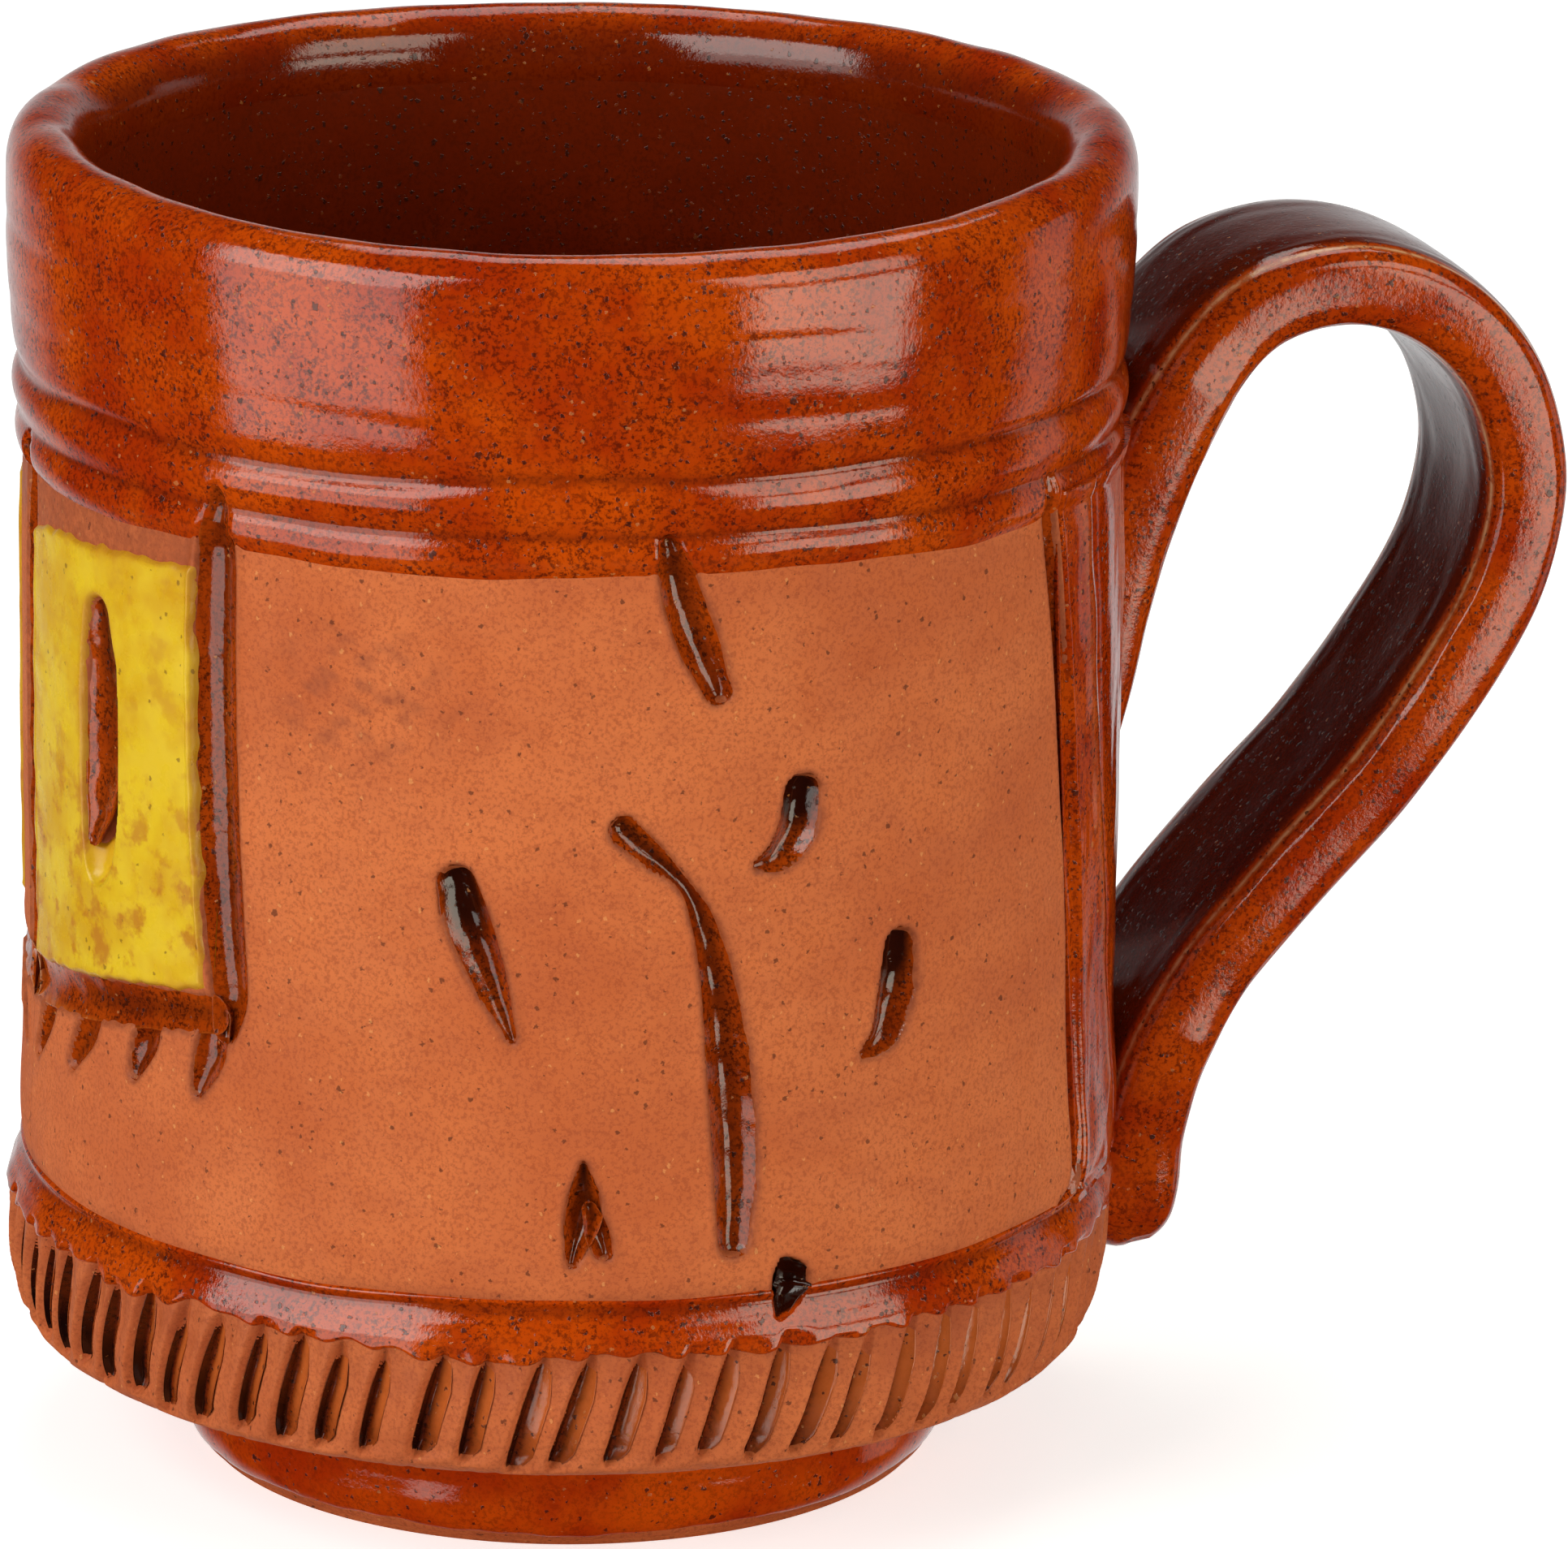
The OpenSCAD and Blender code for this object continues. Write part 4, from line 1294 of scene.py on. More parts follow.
@dataclass(frozen=True)
class Panels(Part):
    """The two yellow panels, one on each side of the groove opposite the handle.

    foot and top: height of a panel's edges by angle. outer: angle of its edge beside the
    bare field, by height. inner: how far its other edge is from that groove's middle, in
    degrees, on the near side and on the far one. coat: how thick it lies. back: radius
    and height of its hidden back. span and rise: the angles and heights that its mesh
    covers, with grid points each way.
    """

    foot: Pairs = ((-180.0, 41.5), (-166.0, 42.6), (-152.0, 44.2), (-144.0, 45.2))
    top: Pairs = ((-180.0, 74.7), (-174.0, 75.9), (-160.0, 76.9), (-144.0, 77.4))
    outer: Pairs = ((42.0, -143.9), (47.0, -144.0), (60.0, -144.7), (77.0, -145.1))
    inner: tuple[float, float] = (2.4, 14.9)
    coat: float = 0.33
    back: Pairs = ((39.75, 78.4), (39.75, 59.0), (39.75, 40.2))
    span: tuple[float, float] = (-179.2, -143.2)
    rise: tuple[float, float] = (40.0, 78.6)
    grid: int = 240

    def build(self) -> list[bpy.types.Object]:
        """The panels: a grid of angle and height, which dips under the clay past its edges.

        Returns:
            The new objects.
        """
        angle, height = np.meshgrid(
            np.linspace(*self.span, self.grid), np.linspace(*self.rise, self.grid), indexing="ij"
        )
        foot = np.interp(angle, *np.transpose(self.foot))
        top = np.interp(angle, *np.transpose(self.top))
        right = (np.interp(height, *np.transpose(self.outer)) - angle) * PER_DEGREE
        rag = 0.22 * ripple(angle, height, 81, 6.0) + 0.1 * ripple(angle, height, 82, 2.0)
        share, width = WALL_SHAPE.slit_glaze.reach(angle, height)
        clay, _ = WALL_SHAPE.clay(angle, height)
        lower = 1.0 - ease(height, 50.0, 66.0)
        made = []
        for number, (way, inner) in enumerate(zip((1.0, -1.0), self.inner), 1):
            left = (angle + HALF_TURN - inner) * PER_DEGREE
            inside = np.minimum(np.minimum(height - foot, top - height), np.minimum(left, right)) + rag
            inside = np.minimum(inside, (share - 1.0) * width + 0.03)
            coat = self.coat * ease(inside, 0.0, 0.45) - 0.3 * (1.0 - ease(inside, -0.2, 0.04))
            radius = clay + coat + 0.03 * ripple(angle, height, 83, 5.0)
            edge = hill(np.maximum(inside, 0.0), 0.0, 0.5)
            surface = Surface().coat(polar(radius, angle * way, height), self.back, True, lower, edge)
            made.append(self.piece(f"yellow_panel_{number}", surface, Finish.YELLOW, "panel_glaze"))
        return made


@dataclass(frozen=True)
class PoolSet:
    """The pools of glaze that make one piece.

    name: the piece's name. strokes: the marks that they lie in. share: how deep their
    face lies, as a share of each mark's depth. node: the construction node.
    """

    name: str
    strokes: tuple[Stroke, ...]
    share: float
    node: str


@dataclass(frozen=True)
class Pools(Part):
    """The glaze lying in carved marks and in the band's notches.

    sets: the pools by piece. steps and sides: points along a mark and across it. cap:
    loops that round off each end. margin: how far a pool reaches past its mark's edge.
    raised: how far its edge stands over the clay. notch_steps and notch_sides: points
    along a notch and across it.
    """

    sets: tuple[PoolSet, ...] = (
        PoolSet("carving_pools", (*WALL_SHAPE.ticks, SHOULDER_GOUGE), 0.82, "carving_glaze"),
        PoolSet("border_pools", (WALL_SHAPE.border,), 0.8, "border_glaze"),
        PoolSet(
            "frame_pools",
            (*WALL_SHAPE.frames, WALL_SHAPE.ledge, *WALL_SHAPE.fringe),
            0.8,
            "panel_frame_glaze",
        ),
        PoolSet("slit_pools", (WALL_SHAPE.slit_glaze,), 0.62, "slit_glaze"),
    )
    steps: int = 84
    sides: int = 18
    cap: int = 6
    margin: float = 0.09
    raised: float = 0.05
    notch_steps: int = 26
    notch_sides: int = 12

    def leaf(self, stroke: Stroke) -> tuple[np.ndarray, np.ndarray]:
        """A mark's middle line with a rounded end added at both ends.

        Args:
            stroke: the mark.

        Returns:
            Distance round the wall, height and half width along it, and its direction.
        """
        line = stroke.line(self.steps)
        way = np.gradient(line[:, :2], axis=0)
        way /= np.linalg.norm(way, axis=1)[:, None]
        lean = np.sin(np.linspace(0.15, 1.0, self.cap) * math.pi / 2)
        caps = []
        for end, sign in ((0, -1.0), (-1, 1.0)):
            width = line[end, 2]
            centre = line[end, None, :2] + sign * way[end] * (width * lean)[:, None]
            caps.append(np.column_stack([centre, width * np.sqrt(np.maximum(1.0 - lean**2, 0.0004))]))
        line = np.vstack([caps[0][::-1], line, caps[1]])
        return line, np.pad(way, ((self.cap, self.cap), (0, 0)), mode="edge")

    def pool(self, stroke: Stroke, share: float, way: float, number: int) -> tuple[np.ndarray, np.ndarray]:
        """One pool: a leaf that follows its mark, hollow on top, closed below.

        Across the leaf, v runs from -1 to 1. Its face lies under the clay by the mark's
        depth times 1 - v squared to the power of the mark's bowl.

        Args:
            stroke: the mark.
            share: how deep its face lies, as a share of the mark's depth.
            way: 1 on the near side of the mug, -1 on the far side.
            number: picks its unevenness.

        Returns:
            The closed loops, and the shader's numbers at their points.
        """
        line, along = self.leaf(stroke)
        normal = np.stack([-along[:, 1], along[:, 0]], axis=1)
        v = np.sin(np.linspace(-1.0, 1.0, self.sides) * math.pi / 2)[None, :]
        middle, rim = 1.0 - v**2, np.abs(v) ** 6
        rough = 0.05 * ripple(np.degrees(line[:, 0] / WALL), line[:, 1], 90 + number, 2.5)
        half = (line[:, 2] + self.margin + rough)[:, None]
        place = line[:, None, :2] + normal[:, None, :] * (v * half)[..., None]
        angle, height = np.degrees(place[..., 0] / WALL), place[..., 1]
        deepest = stroke.depth * share * stroke.fill(line[:, 2])[:, None]
        deep = deepest * np.clip(middle, 0.0, 1.0) ** stroke.bowl
        base = COLLAR_SHAPE.skin(both_ways(angle), height)
        if stroke.into is not None:
            sunk, _ = stroke.into.cut(both_ways(angle), height)
            base = base + 0.9 * np.minimum(sunk, 0.0)
        grain = 0.05 * ripple(angle, height, 190 + number, 2.2) * middle
        top = base - deep + self.raised * (1.0 - rim) + grain - 0.06 * rim
        low = base - deep - 0.45 * middle - 0.12
        run = np.linspace(0.0, 1.0, len(line))[:, None]
        thick = 0.55 * np.abs(v) ** 3 - 0.5 * middle
        thick = thick - 1.6 * stroke.dark * (1.0 - ease(run, 0.1, 1.1 if stroke.dark > 0.55 else 0.55))
        return closed(top, low, angle * way, height, thick)

    def notches(self) -> bpy.types.Object:
        """The dark glaze lying in the notches, one leaf in each.

        Across a leaf, v runs from -1 on its steep side to 1 on its gentle one.

        Returns:
            The new object.
        """
        surface = Surface()
        v = np.sin(np.linspace(-1.0, 1.0, self.notch_sides) * math.pi / 2)[None, :]
        hollow = np.clip(1 - np.abs(v), 0, 1) ** 0.75
        share = 0.5 - 0.5 * np.cos(np.linspace(0.03, math.pi - 0.03, self.notch_steps))
        up_share = ease(share, 0.0, 0.6)[:, None]
        thick = ease(v, -0.25, 0.75) * (0.45 + 0.55 * up_share)
        thick = thick - 1.2 * (1.0 - ease(v, -0.35, 0.2)) * (1.0 - 0.45 * up_share)
        leaning = np.where(v < 0.0, v * BAND.steep, v * BAND.gentle)
        rng = np.random.default_rng(17)
        for number in np.nonzero(BAND.kept)[0]:
            height = (BAND.foot[number] + share * (BAND.top[number] - BAND.foot[number]))[:, None]
            half = BAND.width(number, height) * rng.uniform(0.92, 1.02)
            angle = BAND.middle_line(number, height) + np.degrees(leaning * half / WALL)
            radius = BAND.plain(height, 200)
            deep = BAND.depth[number] * (half / BAND.full_width)
            top = radius - 0.66 - deep * rng.uniform(0.72, 0.88) * hollow
            low = radius - 0.8 - deep * 1.1 * hollow
            rings, marks = closed(top, low, angle, height, thick)
            surface.loops(rings, True, marks)
        return self.piece("notch_pools", surface, Finish.NOTCH, "notch_glaze")

    def build(self) -> list[bpy.types.Object]:
        """Makes the pools of every set, on both sides of the mug, and those in the notches.

        Returns:
            The new objects.
        """
        made = []
        for pools in self.sets:
            surface = Surface()
            for way in (1.0, -1.0):
                for number, stroke in enumerate(pools.strokes):
                    rings, marks = self.pool(stroke, pools.share, way, number)
                    surface.loops(rings, True, marks)
            made.append(self.piece(pools.name, surface, Finish.GROOVE, pools.node))
        return [*made, self.notches()]


class Graph:
    """A short way to write a finish as shader nodes, in millimetres."""

    def __init__(self, name: str) -> None:
        """Starts a material, and finds the place on the object in millimetres.

        Args:
            name: the material's name.
        """
        self.material = bpy.data.materials.new(name)
        self.material.use_nodes = True
        self.tree = self.material.node_tree
        self.face = self.tree.nodes["Principled BSDF"]
        coords = self.add("ShaderNodeTexCoord")
        inputs = {0: coords.outputs["Object"], "Scale": 1.0 / MM}
        self.place = self.add("ShaderNodeVectorMath", inputs, operation="SCALE").outputs[0]

    def add(self, kind: str, inputs: dict | None = None, **settings: str) -> bpy.types.Node:
        """Adds a node.

        Args:
            kind: its type.
            inputs: what goes into its sockets, by name or number.
            settings: its own settings.

        Returns:
            The node.
        """
        node = self.tree.nodes.new(kind)
        for key, setting in settings.items():
            setattr(node, key, setting)
        for key, value in (inputs or {}).items():
            self.feed(node.inputs[key], value)
        return node

    def feed(self, socket: bpy.types.NodeSocket, value: object) -> None:
        """Links a socket to another, or sets it to a number or colour.

        Args:
            socket: the socket that takes it.
            value: another socket, a number, or a colour or vector.
        """
        if isinstance(value, bpy.types.NodeSocket):
            self.tree.links.new(value, socket)
        elif isinstance(value, tuple) and socket.type == "RGBA":
            socket.default_value = (*value, 1.0)
        else:
            socket.default_value = value

    def stretched(self, x: float, y: float, z: float) -> bpy.types.NodeSocket:
        """Returns the place with each axis scaled."""
        inputs = {0: self.place, 1: (x, y, z)}
        return self.add("ShaderNodeVectorMath", inputs, operation="MULTIPLY").outputs[0]

    def noise(
        self, size: float, detail: float, rough: float, at: bpy.types.NodeSocket | None = None
    ) -> bpy.types.NodeSocket:
        """A cloudy field.

        Args:
            size: millimetres from cloud to cloud.
            detail: how many times it is broken up smaller.
            rough: how strong the small clouds are.
            at: the place; the object's own by default.

        Returns:
            The field.
        """
        inputs = {"Vector": at or self.place, "Scale": 1.0 / size, "Detail": detail, "Roughness": rough}
        return self.add("ShaderNodeTexNoise", inputs).outputs["Fac"]

    def cloud(
        self,
        form: tuple[float, float, float],
        low: float,
        high: float,
        to_low: float = 0.0,
        to_high: float = 1.0,
    ) -> bpy.types.NodeSocket:
        """A cloudy field spread between two values.

        Args:
            form: the field's size, detail and roughness.
            low: the field's value that gives to_low.
            high: the field's value that gives to_high.
            to_low: the least result.
            to_high: the greatest result.

        Returns:
            The field.
        """
        return self.spread(self.noise(*form), low, high, to_low, to_high)

    def specks(
        self, spacing: float, share: float, radius: float, at: bpy.types.NodeSocket | None = None
    ) -> bpy.types.NodeSocket:
        """Scattered specks with uneven outlines: 1 inside a speck and 0 outside.

        Args:
            spacing: millimetres from one possible speck to the next.
            share: the share of the places that have one.
            radius: the largest speck's radius, in millimetres.
            at: the place; the object's own by default.

        Returns:
            The mask.
        """
        place = at or self.place
        wander = self.add("ShaderNodeTexNoise", {"Vector": place, "Scale": 0.9 / radius, "Detail": 2.0})
        inputs = {0: wander.outputs["Color"], 1: (2.4 * radius,) * 3, 2: place}
        bent = self.add("ShaderNodeVectorMath", inputs, operation="MULTIPLY_ADD")
        cells = self.add("ShaderNodeTexVoronoi", {"Vector": bent.outputs[0], "Scale": 1.0 / spacing})
        split = self.add("ShaderNodeSeparateColor", {0: cells.outputs["Color"]})
        size = self.spread(split.outputs[0], 1.0 - share, 1.0, 0.0, radius / spacing)
        inside = self.math("SUBTRACT", size, cells.outputs["Distance"])
        return self.spread(inside, 0.0, 0.25 * radius / spacing, 0.0, 1.0)

    def math(self, kind: str, a: object, b: object) -> bpy.types.NodeSocket:
        """Returns the result of one sum."""
        return self.add("ShaderNodeMath", {0: a, 1: b}, operation=kind).outputs[0]

    def spread(
        self, value: object, low: float, high: float, to_low: float, to_high: float
    ) -> bpy.types.NodeSocket:
        """Moves a value smoothly from one range to another, and holds it there.

        Args:
            value: the value.
            low: where the first range starts.
            high: where it ends.
            to_low: where the second range starts.
            to_high: where it ends.

        Returns:
            The moved value.
        """
        inputs = {"Value": value, "From Min": low, "From Max": high, "To Min": to_low, "To Max": to_high}
        return self.add("ShaderNodeMapRange", inputs, interpolation_type="SMOOTHSTEP").outputs["Result"]

    def mix(self, share: object, a: object, b: object) -> bpy.types.NodeSocket:
        """Returns two colours mixed by a share."""
        return self.add("ShaderNodeMix", {0: share, 6: a, 7: b}, data_type="RGBA").outputs[2]

    def lay(
        self, colour: object, share: object, strength: object, over: Colour
    ) -> bpy.types.NodeSocket:
        """Lays a colour over another.

        Args:
            colour: the colour below.
            share: where the new one lies.
            strength: how much of it there is.
            over: the new colour.

        Returns:
            The colour.
        """
        return self.mix(self.math("MULTIPLY", share, strength), colour, over)

    def mark(self, mark: Mark) -> bpy.types.NodeSocket:
        """Returns a number that rides on the points."""
        return self.add("ShaderNodeAttribute", attribute_name=mark.value).outputs["Fac"]

    def finish(self, colour: object, roughness: object, bumps: tuple, ior: float) -> bpy.types.Material:
        """Joins the finish to the surface.

        Args:
            colour: the base colour.
            roughness: the roughness.
            bumps: pairs of a height field and its height in millimetres.
            ior: how strongly it mirrors, as a refractive index.

        Returns:
            The material.
        """
        self.feed(self.face.inputs["Base Color"], colour)
        self.feed(self.face.inputs["Roughness"], roughness)
        self.feed(self.face.inputs["IOR"], ior)
        for field, size in bumps:
            bump = self.add("ShaderNodeBump", {"Strength": 1.0, "Distance": size * MM, "Height": field})
            if self.face.inputs["Normal"].is_linked:
                self.feed(bump.inputs["Normal"], self.face.inputs["Normal"].links[0].from_socket)
            self.feed(self.face.inputs["Normal"], bump.outputs["Normal"])
        return self.material


@dataclass(frozen=True)
class Glaze:
    """A glossy glaze. Its colours are linear red, green and blue.

    dark and light: its cloudy range. thin: where it runs thin over an edge; in the lining, also the painted
    light towards the lip.
    deep: where it lies deep; on the strap's broad faces it is painted shade. rough: least and most roughness.
    specks: how many of the possible dark specks it has. waves: height of its waves.
    least: how evenly it thins, from 0 to 1. gold and grain: how clear its pale and
    its dark grains are. inner: the darker colour that it turns to towards the inside of the mug, painted
    shade.
    bare: where it has run off, on the strap's corners; it is paler than the clay, partly a painted highlight.
    speck and grog: its dark specks and its pale ones.
    """

    dark: Colour
    light: Colour
    thin: Colour
    deep: Colour
    rough: tuple[float, float] = (0.03, 0.09)
    specks: float = 0.5
    waves: float = 0.04
    least: float = 0.2
    gold: float = 0.5
    grain: float = 0.85
    inner: Colour | None = None
    bare: Colour = (0.78, 0.42, 0.2)
    speck: Colour = (0.03, 0.005, 0.002)
    grog: Colour = (0.62, 0.24, 0.06)
    ior: float = 1.6

    def material(self, name: str) -> bpy.types.Material:
        """The glaze: cloudy, speckled, paler where thin and darker where deep.

        Args:
            name: the material's name.

        Returns:
            The material.
        """
        g = Graph(name)
        colour = g.mix(g.cloud((9.0, 4.0, 0.6), 0.3, 0.7), self.dark, self.light)
        patchy = g.cloud((2.6, 3.0, 0.6), 0.35, 0.65, 0.5)
        grain = g.cloud((0.38, 4.0, 0.75), 0.46, 0.6, 0.0, self.grain)
        colour = g.lay(colour, grain, patchy, self.deep)
        thick = g.mark(Mark.THICK)
        ragged = g.cloud((1.0, 4.0, 0.7), 0.35, 0.6, self.least)
        colour = g.lay(colour, g.spread(thick, 0.1, 1.0, 0.0, 0.9), ragged, self.thin)
        # Pale where the glaze has run off, on the strap's corners: partly a painted highlight
        colour = g.lay(colour, g.spread(thick, 1.05, 1.5, 0.0, 0.9), ragged, self.bare)
        # Darker where the glaze lies deep; on the strap's broad faces this is painted shade
        colour = g.mix(g.spread(thick, -0.1, -1.0, 0.0, 1.0), colour, self.deep)
        # Painted shade and light: the collar's lip darkens to the inner colour towards the inside of the cup,
        # and the lining, which has none, lightens to its thin colour towards the lip
        strength, over = (0.8, self.inner) if self.inner else (0.5, self.thin)
        colour = g.lay(colour, g.mark(Mark.NEAR), strength, over)
        dark = g.math("MAXIMUM", g.specks(0.5, self.specks, 0.2), g.specks(1.5, 0.4, 0.32))
        colour = g.lay(colour, dark, 0.8, self.speck)
        small = g.specks(0.8, 0.35, 0.18, g.stretched(1.0, 1.1, 1.15))
        gold = g.math("MAXIMUM", small, g.specks(2.7, 0.3, 0.28))
        colour = g.lay(colour, gold, self.gold, self.grog)
        both = g.math("ADD", gold, dark)
        rough = g.cloud((2.0, 4.0, 0.65), 0.3, 0.7, *self.rough)
        rough = g.math("ADD", rough, g.math("MULTIPLY", both, 0.15))
        bumps = ((g.noise(3.6, 2.0, 0.5), self.waves), (g.noise(0.4, 3.0, 0.65), 0.016), (both, 0.012))
        return g.finish(colour, rough, bumps, self.ior)


@dataclass(frozen=True)
class BareClay:
    """Bare fired clay. Its colours are linear red, green and blue.

    dark and light: its cloudy range. streak: its slow streaks. fine: its grain.
    burnt: the band's darker, half glossy face. speck and grog: its dark and pale specks.
    edge: the stain beside cuts and glaze.
    """

    dark: Colour = (0.6, 0.136, 0.036)
    light: Colour = (0.71, 0.186, 0.053)
    streak: Colour = (0.45, 0.09, 0.03)
    fine: Colour = (0.38, 0.07, 0.018)
    burnt: Colour = (0.3, 0.05, 0.014)
    speck: Colour = (0.09, 0.018, 0.005)
    grog: Colour = (0.85, 0.38, 0.12)
    edge: Colour = (0.25, 0.05, 0.016)
    ior: float = 1.35

    def material(self, name: str) -> bpy.types.Material:
        """The clay: matte and cloudy, with fine dark and gold grains.

        Args:
            name: the material's name.

        Returns:
            The material.
        """
        g = Graph(name)
        colour = g.mix(g.cloud((16.0, 4.0, 0.55), 0.32, 0.68), self.dark, self.light)
        streak = g.spread(g.noise(6.0, 3.0, 0.6, g.stretched(1.0, 1.0, 2.2)), 0.4, 0.75, 0.0, 0.25)
        colour = g.mix(streak, colour, self.streak)
        colour = g.mix(g.cloud((0.33, 4.0, 0.75), 0.46, 0.62, 0.0, 0.55), colour, self.fine)
        burnt = g.math("MULTIPLY", g.mark(Mark.THICK), g.cloud((1.6, 3.0, 0.6), 0.3, 0.6, 0.4))
        colour = g.mix(burnt, colour, self.burnt)
        dark = g.math("MAXIMUM", g.specks(0.65, 0.3, 0.2), g.specks(2.1, 0.4, 0.3))
        colour = g.lay(colour, dark, 0.7, self.speck)
        small = g.specks(0.7, 0.3, 0.17, g.stretched(1.1, 1.0, 0.9))
        pale = g.math("MAXIMUM", small, g.specks(2.6, 0.3, 0.25))
        colour = g.lay(colour, pale, 0.5, self.grog)
        near = g.mark(Mark.NEAR)
        blotch = g.cloud((0.8, 3.0, 0.6), 0.3, 0.65, 0.45)
        colour = g.lay(colour, g.math("MULTIPLY", near, blotch), 0.75, self.edge)
        satin = g.math("MAXIMUM", g.math("MULTIPLY", near, 0.3), g.math("MULTIPLY", burnt, 0.75))
        rough = g.math("SUBTRACT", g.cloud((3.0, 3.0, 0.6), 0.3, 0.7, 0.68, 0.85), satin)
        both = g.math("ADD", dark, pale)
        bumps = ((g.noise(2.6, 3.0, 0.6), 0.035), (g.noise(0.3, 3.0, 0.7), 0.03), (both, 0.012))
        return g.finish(colour, rough, bumps, self.ior)


@dataclass(frozen=True)
class YellowGlaze:
    """The panels' bright yellow glaze. Its colours are linear red, green and blue.

    dark and light: its cloudy range. stain: its brown stains. edge: where it thins at
    its edges. speck: its dark grains.
    """

    dark: Colour = (0.74, 0.42, 0.005)
    light: Colour = (0.85, 0.575, 0.014)
    stain: Colour = (0.56, 0.2, 0.01)
    edge: Colour = (0.5, 0.16, 0.012)
    speck: Colour = (0.2, 0.07, 0.006)
    ior: float = 1.5

    def material(self, name: str) -> bpy.types.Material:
        """The glaze: yellow, with brown stains low down and fine dark grains.

        Args:
            name: the material's name.

        Returns:
            The material.
        """
        g = Graph(name)
        colour = g.mix(g.cloud((5.0, 3.0, 0.55), 0.35, 0.65), self.dark, self.light)
        stain = g.cloud((3.2, 5.0, 0.65), 0.5, 0.64, 0.0, 0.85)
        colour = g.lay(colour, stain, g.spread(g.mark(Mark.THICK), 0.0, 1.0, 0.4, 1.0), self.stain)
        colour = g.lay(colour, g.mark(Mark.NEAR), 0.7, self.edge)
        colour = g.lay(colour, g.specks(0.8, 0.3, 0.22), 0.65, self.speck)
        rough = g.cloud((2.0, 3.0, 0.6), 0.3, 0.7, 0.22, 0.38)
        bumps = ((g.noise(2.2, 2.0, 0.5), 0.07), (g.noise(0.4, 3.0, 0.6), 0.02))
        return g.finish(colour, rough, bumps, self.ior)


FINISHES = {
    Finish.CLAY: BareClay(),
    Finish.AMBER: Glaze(
        (0.39, 0.026, 0.0005), (0.6, 0.075, 0.0013), (0.58, 0.17, 0.05), (0.085, 0.008, 0.002),
        # inner: painted shade, the colour that the lip darkens to towards the inside of the cup
        inner=(0.138, 0.01, 0.0005),
    ),
    # Painted light: the foot's glaze is a lighter copy of the amber, for light bounced up from the floor; its
    # fewer specks and grains are its own
    Finish.FOOT: Glaze(
        (0.49, 0.035, 0.0006), (0.74, 0.098, 0.0016), (0.62, 0.2, 0.05), (0.12, 0.012, 0.002),
        specks=0.35, grain=0.45,
    ),
    # Painted shade: the lining's colours are far darker than the amber outside, for the shade inside the cup
    Finish.LINING: Glaze(
        (0.094, 0.0055, 0.0003), (0.138, 0.01, 0.0005), (0.3, 0.03, 0.003), (0.03, 0.003, 0.001),
        rough=(0.08, 0.16), gold=0.1,
    ),
    Finish.GROOVE: Glaze(
        (0.29, 0.03, 0.0012), (0.48, 0.065, 0.0025), (0.56, 0.12, 0.012), (0.03, 0.004, 0.001),
        rough=(0.02, 0.06), specks=0.3,
    ),
    Finish.NOTCH: Glaze(
        (0.13, 0.014, 0.002), (0.27, 0.036, 0.004), (0.66, 0.15, 0.03), (0.012, 0.002, 0.001),
        rough=(0.05, 0.2), specks=0.3, least=0.85,
    ),
    Finish.YELLOW: YellowGlaze(),
}


@dataclass(frozen=True)
class Softbox:
    """A soft studio light.

    turn: degrees round the mug from the camera's side, right positive.
    rise: degrees over the table. distance, width, height: metres. power: watts.
    tint: the light's colour.
    """

    name: str
    turn: float
    rise: float
    distance: float
    width: float
    height: float
    power: float
    tint: Colour = (1.0, 0.985, 0.93)


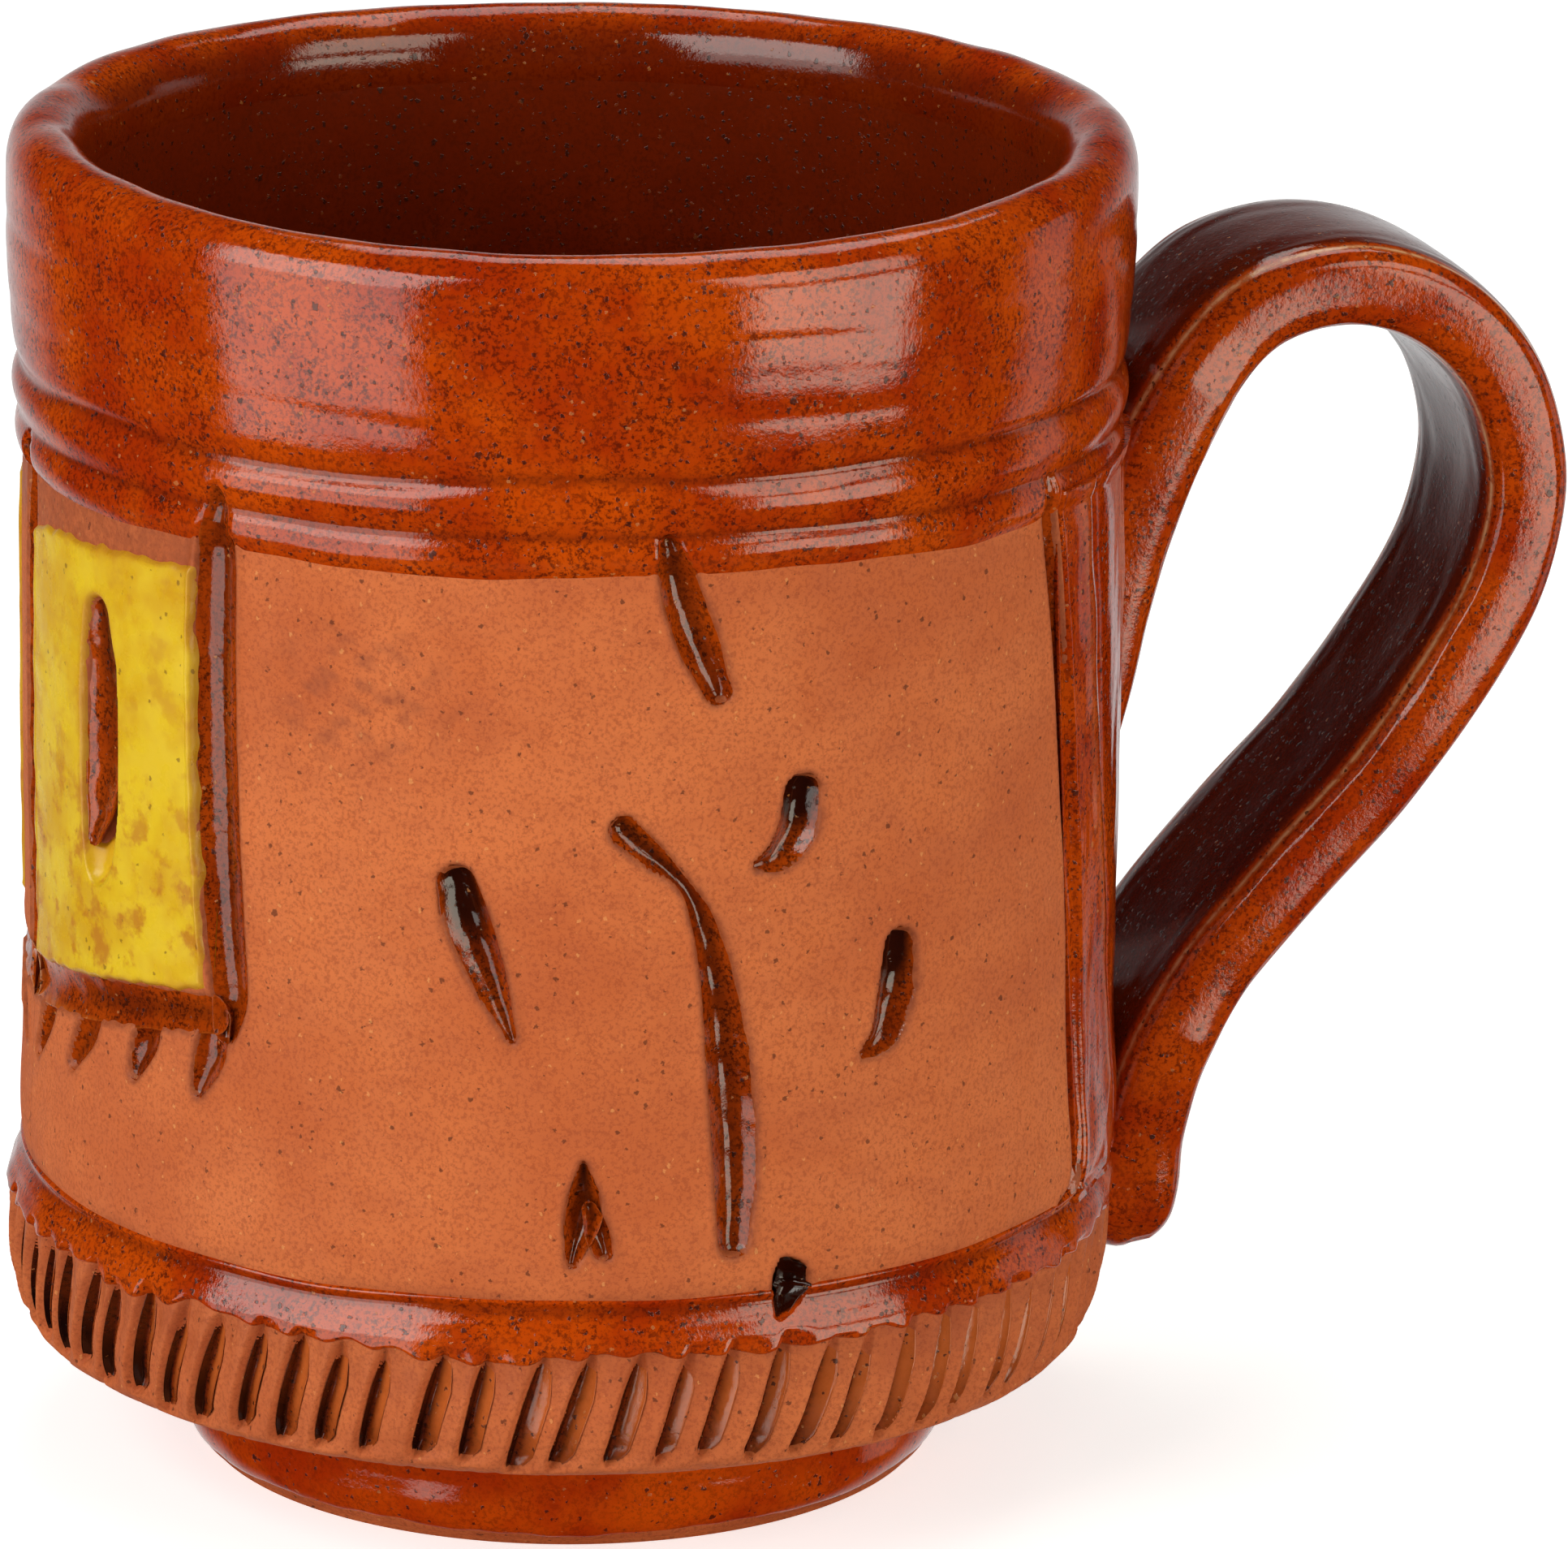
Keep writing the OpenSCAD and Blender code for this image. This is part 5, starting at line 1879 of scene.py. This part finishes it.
@dataclass(frozen=True)
class Studio:
    """The floor, the lights, the surroundings and the camera, in metres and degrees.

    softboxes: the lights. target: height of the point that they face. floor_half: half of
    the floor's side. floor_colour and floor_glow: its colour and how bright the camera
    sees it. backdrop: the way to the white backdrop that shiny faces mirror.
    room: how bright the room before it and the backdrop are. dull_light: the even light
    on dull faces. yaw, pitch, roll: the camera's turn. eye: its place. lens: its focal
    length in millimetres.
    """

    softboxes: tuple[Softbox, ...] = (
        Softbox("left_softbox", -52.0, -3.0, 0.8, 0.62, 0.6, 2.1),
        Softbox("left_upper_softbox", -52.0, 32.0, 0.9, 0.7, 0.5, 3.9),
        Softbox("right_softbox", 53.8, -2.0, 2.0, 1.22, 1.16, 14.0, (1.0, 0.94, 0.78)),
        Softbox("right_upper_softbox", 53.8, 32.0, 2.0, 1.22, 0.85, 9.3, (1.0, 0.94, 0.78)),
        Softbox("side_softbox", 110.0, -6.0, 1.3, 0.36, 0.9, 0.42),
        Softbox("top_softbox", 165.0, 66.0, 0.9, 0.6, 0.5, 2.0),
    )
    target: float = 0.055
    floor_half: float = 6.0
    floor_colour: Colour = (0.9, 0.9, 0.9)
    floor_glow: float = 0.62
    backdrop: tuple[float, float, float] = (0.25, 0.88, -0.4)
    room: tuple[float, float] = (0.01, 0.7)
    dull_light: float = 0.2
    yaw: float = 15.9
    pitch: float = 16.26
    roll: float = 0.79
    eye: tuple[float, float, float] = (-0.17045, -0.6591, 0.25124)
    lens: float = 211.01

    def floor(self) -> None:
        """A plain pale floor that keeps the mug's shadow."""
        mesh = bpy.data.meshes.new("floor")
        low, high = -self.floor_half, self.floor_half
        square = [(low, low, 0), (high, low, 0), (high, high, 0), (low, high, 0)]
        mesh.from_pydata(square, [], [(0, 1, 2, 3)])
        floor = bpy.data.objects.new("floor", mesh)
        bpy.context.scene.collection.objects.link(floor)
        material = bpy.data.materials.new("pale_floor")
        material.use_nodes = True
        tree = material.node_tree
        face = tree.nodes["Principled BSDF"]
        face.inputs["Base Color"].default_value = (*self.floor_colour, 1.0)
        face.inputs["Roughness"].default_value = 0.9
        face.inputs["Specular IOR Level"].default_value = 0.0
        path = tree.nodes.new("ShaderNodeLightPath")
        gain = tree.nodes.new("ShaderNodeMath")
        gain.operation = "MULTIPLY"
        gain.inputs[1].default_value = self.floor_glow
        tree.links.new(path.outputs["Is Camera Ray"], gain.inputs[0])
        tree.links.new(gain.outputs[0], face.inputs["Emission Strength"])
        face.inputs["Emission Color"].default_value = (1.0, 1.0, 1.0, 1.0)
        mesh.materials.append(material)
        floor.visible_glossy = False

    def surroundings(self) -> None:
        """A white backdrop behind the mug and a darker room before it; even light on dull faces."""
        world = bpy.data.worlds.new("studio")
        bpy.context.scene.world = world
        world.use_nodes = True
        tree = world.node_tree
        tree.nodes.clear()
        path = tree.nodes.new("ShaderNodeLightPath")
        coords = tree.nodes.new("ShaderNodeTexCoord")
        behind = tree.nodes.new("ShaderNodeVectorMath")
        behind.operation = "DOT_PRODUCT"
        behind.inputs[1].default_value = self.backdrop
        tree.links.new(coords.outputs["Generated"], behind.inputs[0])
        room = tree.nodes.new("ShaderNodeMapRange")
        room.interpolation_type = "SMOOTHSTEP"
        low, high = self.room
        for key, number in (("From Min", 0.6), ("From Max", 1.0), ("To Min", low), ("To Max", high)):
            room.inputs[key].default_value = number
        tree.links.new(behind.outputs["Value"], room.inputs["Value"])
        lit, seen, mirrored = (tree.nodes.new("ShaderNodeBackground") for _ in range(3))
        for node in (lit, seen, mirrored):
            node.inputs["Color"].default_value = (1.0, 1.0, 1.0, 1.0)
        lit.inputs["Strength"].default_value = self.dull_light
        tree.links.new(room.outputs["Result"], mirrored.inputs["Strength"])
        below = lit
        for ray, above in (("Is Glossy Ray", mirrored), ("Is Camera Ray", seen)):
            choice = tree.nodes.new("ShaderNodeMixShader")
            tree.links.new(path.outputs[ray], choice.inputs[0])
            tree.links.new(below.outputs[0], choice.inputs[1])
            tree.links.new(above.outputs[0], choice.inputs[2])
            below = choice
        out = tree.nodes.new("ShaderNodeOutputWorld")
        tree.links.new(below.outputs[0], out.inputs[0])

    def light(self, box: Softbox) -> None:
        """Adds one softbox, turned to face the mug.

        Args:
            box: the softbox.
        """
        data = bpy.data.lights.new(box.name, "AREA")
        data.shape = "RECTANGLE"
        data.size, data.size_y = box.width, box.height
        data.energy = box.power
        data.color = box.tint
        lamp = bpy.data.objects.new(box.name, data)
        turn, rise = math.radians(FRONT + box.turn), math.radians(box.rise)
        way = Vector((math.cos(turn) * math.cos(rise), math.sin(turn) * math.cos(rise), math.sin(rise)))
        lamp.location = Vector((0.0, 0.0, self.target)) + way * box.distance
        lamp.rotation_mode = "QUATERNION"
        lamp.rotation_quaternion = way.to_track_quat("Z", "Y")
        bpy.context.scene.collection.objects.link(lamp)

    def camera(self) -> None:
        """Adds the camera: far off, a little above the mug, turned towards its carved side."""
        yaw, pitch, roll = (math.radians(turn) for turn in (self.yaw, self.pitch, self.roll))
        forward = Vector((math.sin(yaw) * math.cos(pitch), math.cos(yaw) * math.cos(pitch), -math.sin(pitch)))
        level = forward.cross(Vector((0, 0, 1))).normalized()
        upright = level.cross(forward)
        right = math.cos(roll) * level + math.sin(roll) * upright
        top = -math.sin(roll) * level + math.cos(roll) * upright
        data = bpy.data.cameras.new("camera")
        data.lens, data.sensor_width = self.lens, 36.0
        data.clip_start, data.clip_end = 0.05, 50.0
        camera = bpy.data.objects.new("camera", data)
        turned_to = Matrix((right, top, -forward)).transposed().to_4x4()
        camera.matrix_world = Matrix.Translation(self.eye) @ turned_to
        bpy.context.scene.collection.objects.link(camera)
        bpy.context.scene.camera = camera

    def build(self) -> None:
        """Adds everything round the mug."""
        self.floor()
        self.surroundings()
        for box in self.softboxes:
            self.light(box)
        self.camera()
        bpy.context.scene.view_settings.view_transform = "Standard"


def main() -> None:
    """Builds the mug on the construction, then its studio."""
    logging.basicConfig(level=logging.INFO, format="%(message)s")
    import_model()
    materials = {finish: look.material(finish.title) for finish, look in FINISHES.items()}
    for part in (Cup, Coats, NotchedBand, Foot, Handle, Panels, Pools):
        for piece in part(materials).build():
            LOG.info("%s: %s, %d faces", part.__name__, piece.name, len(piece.data.polygons))
    Studio().build()


if __name__ == "__main__":
    main()
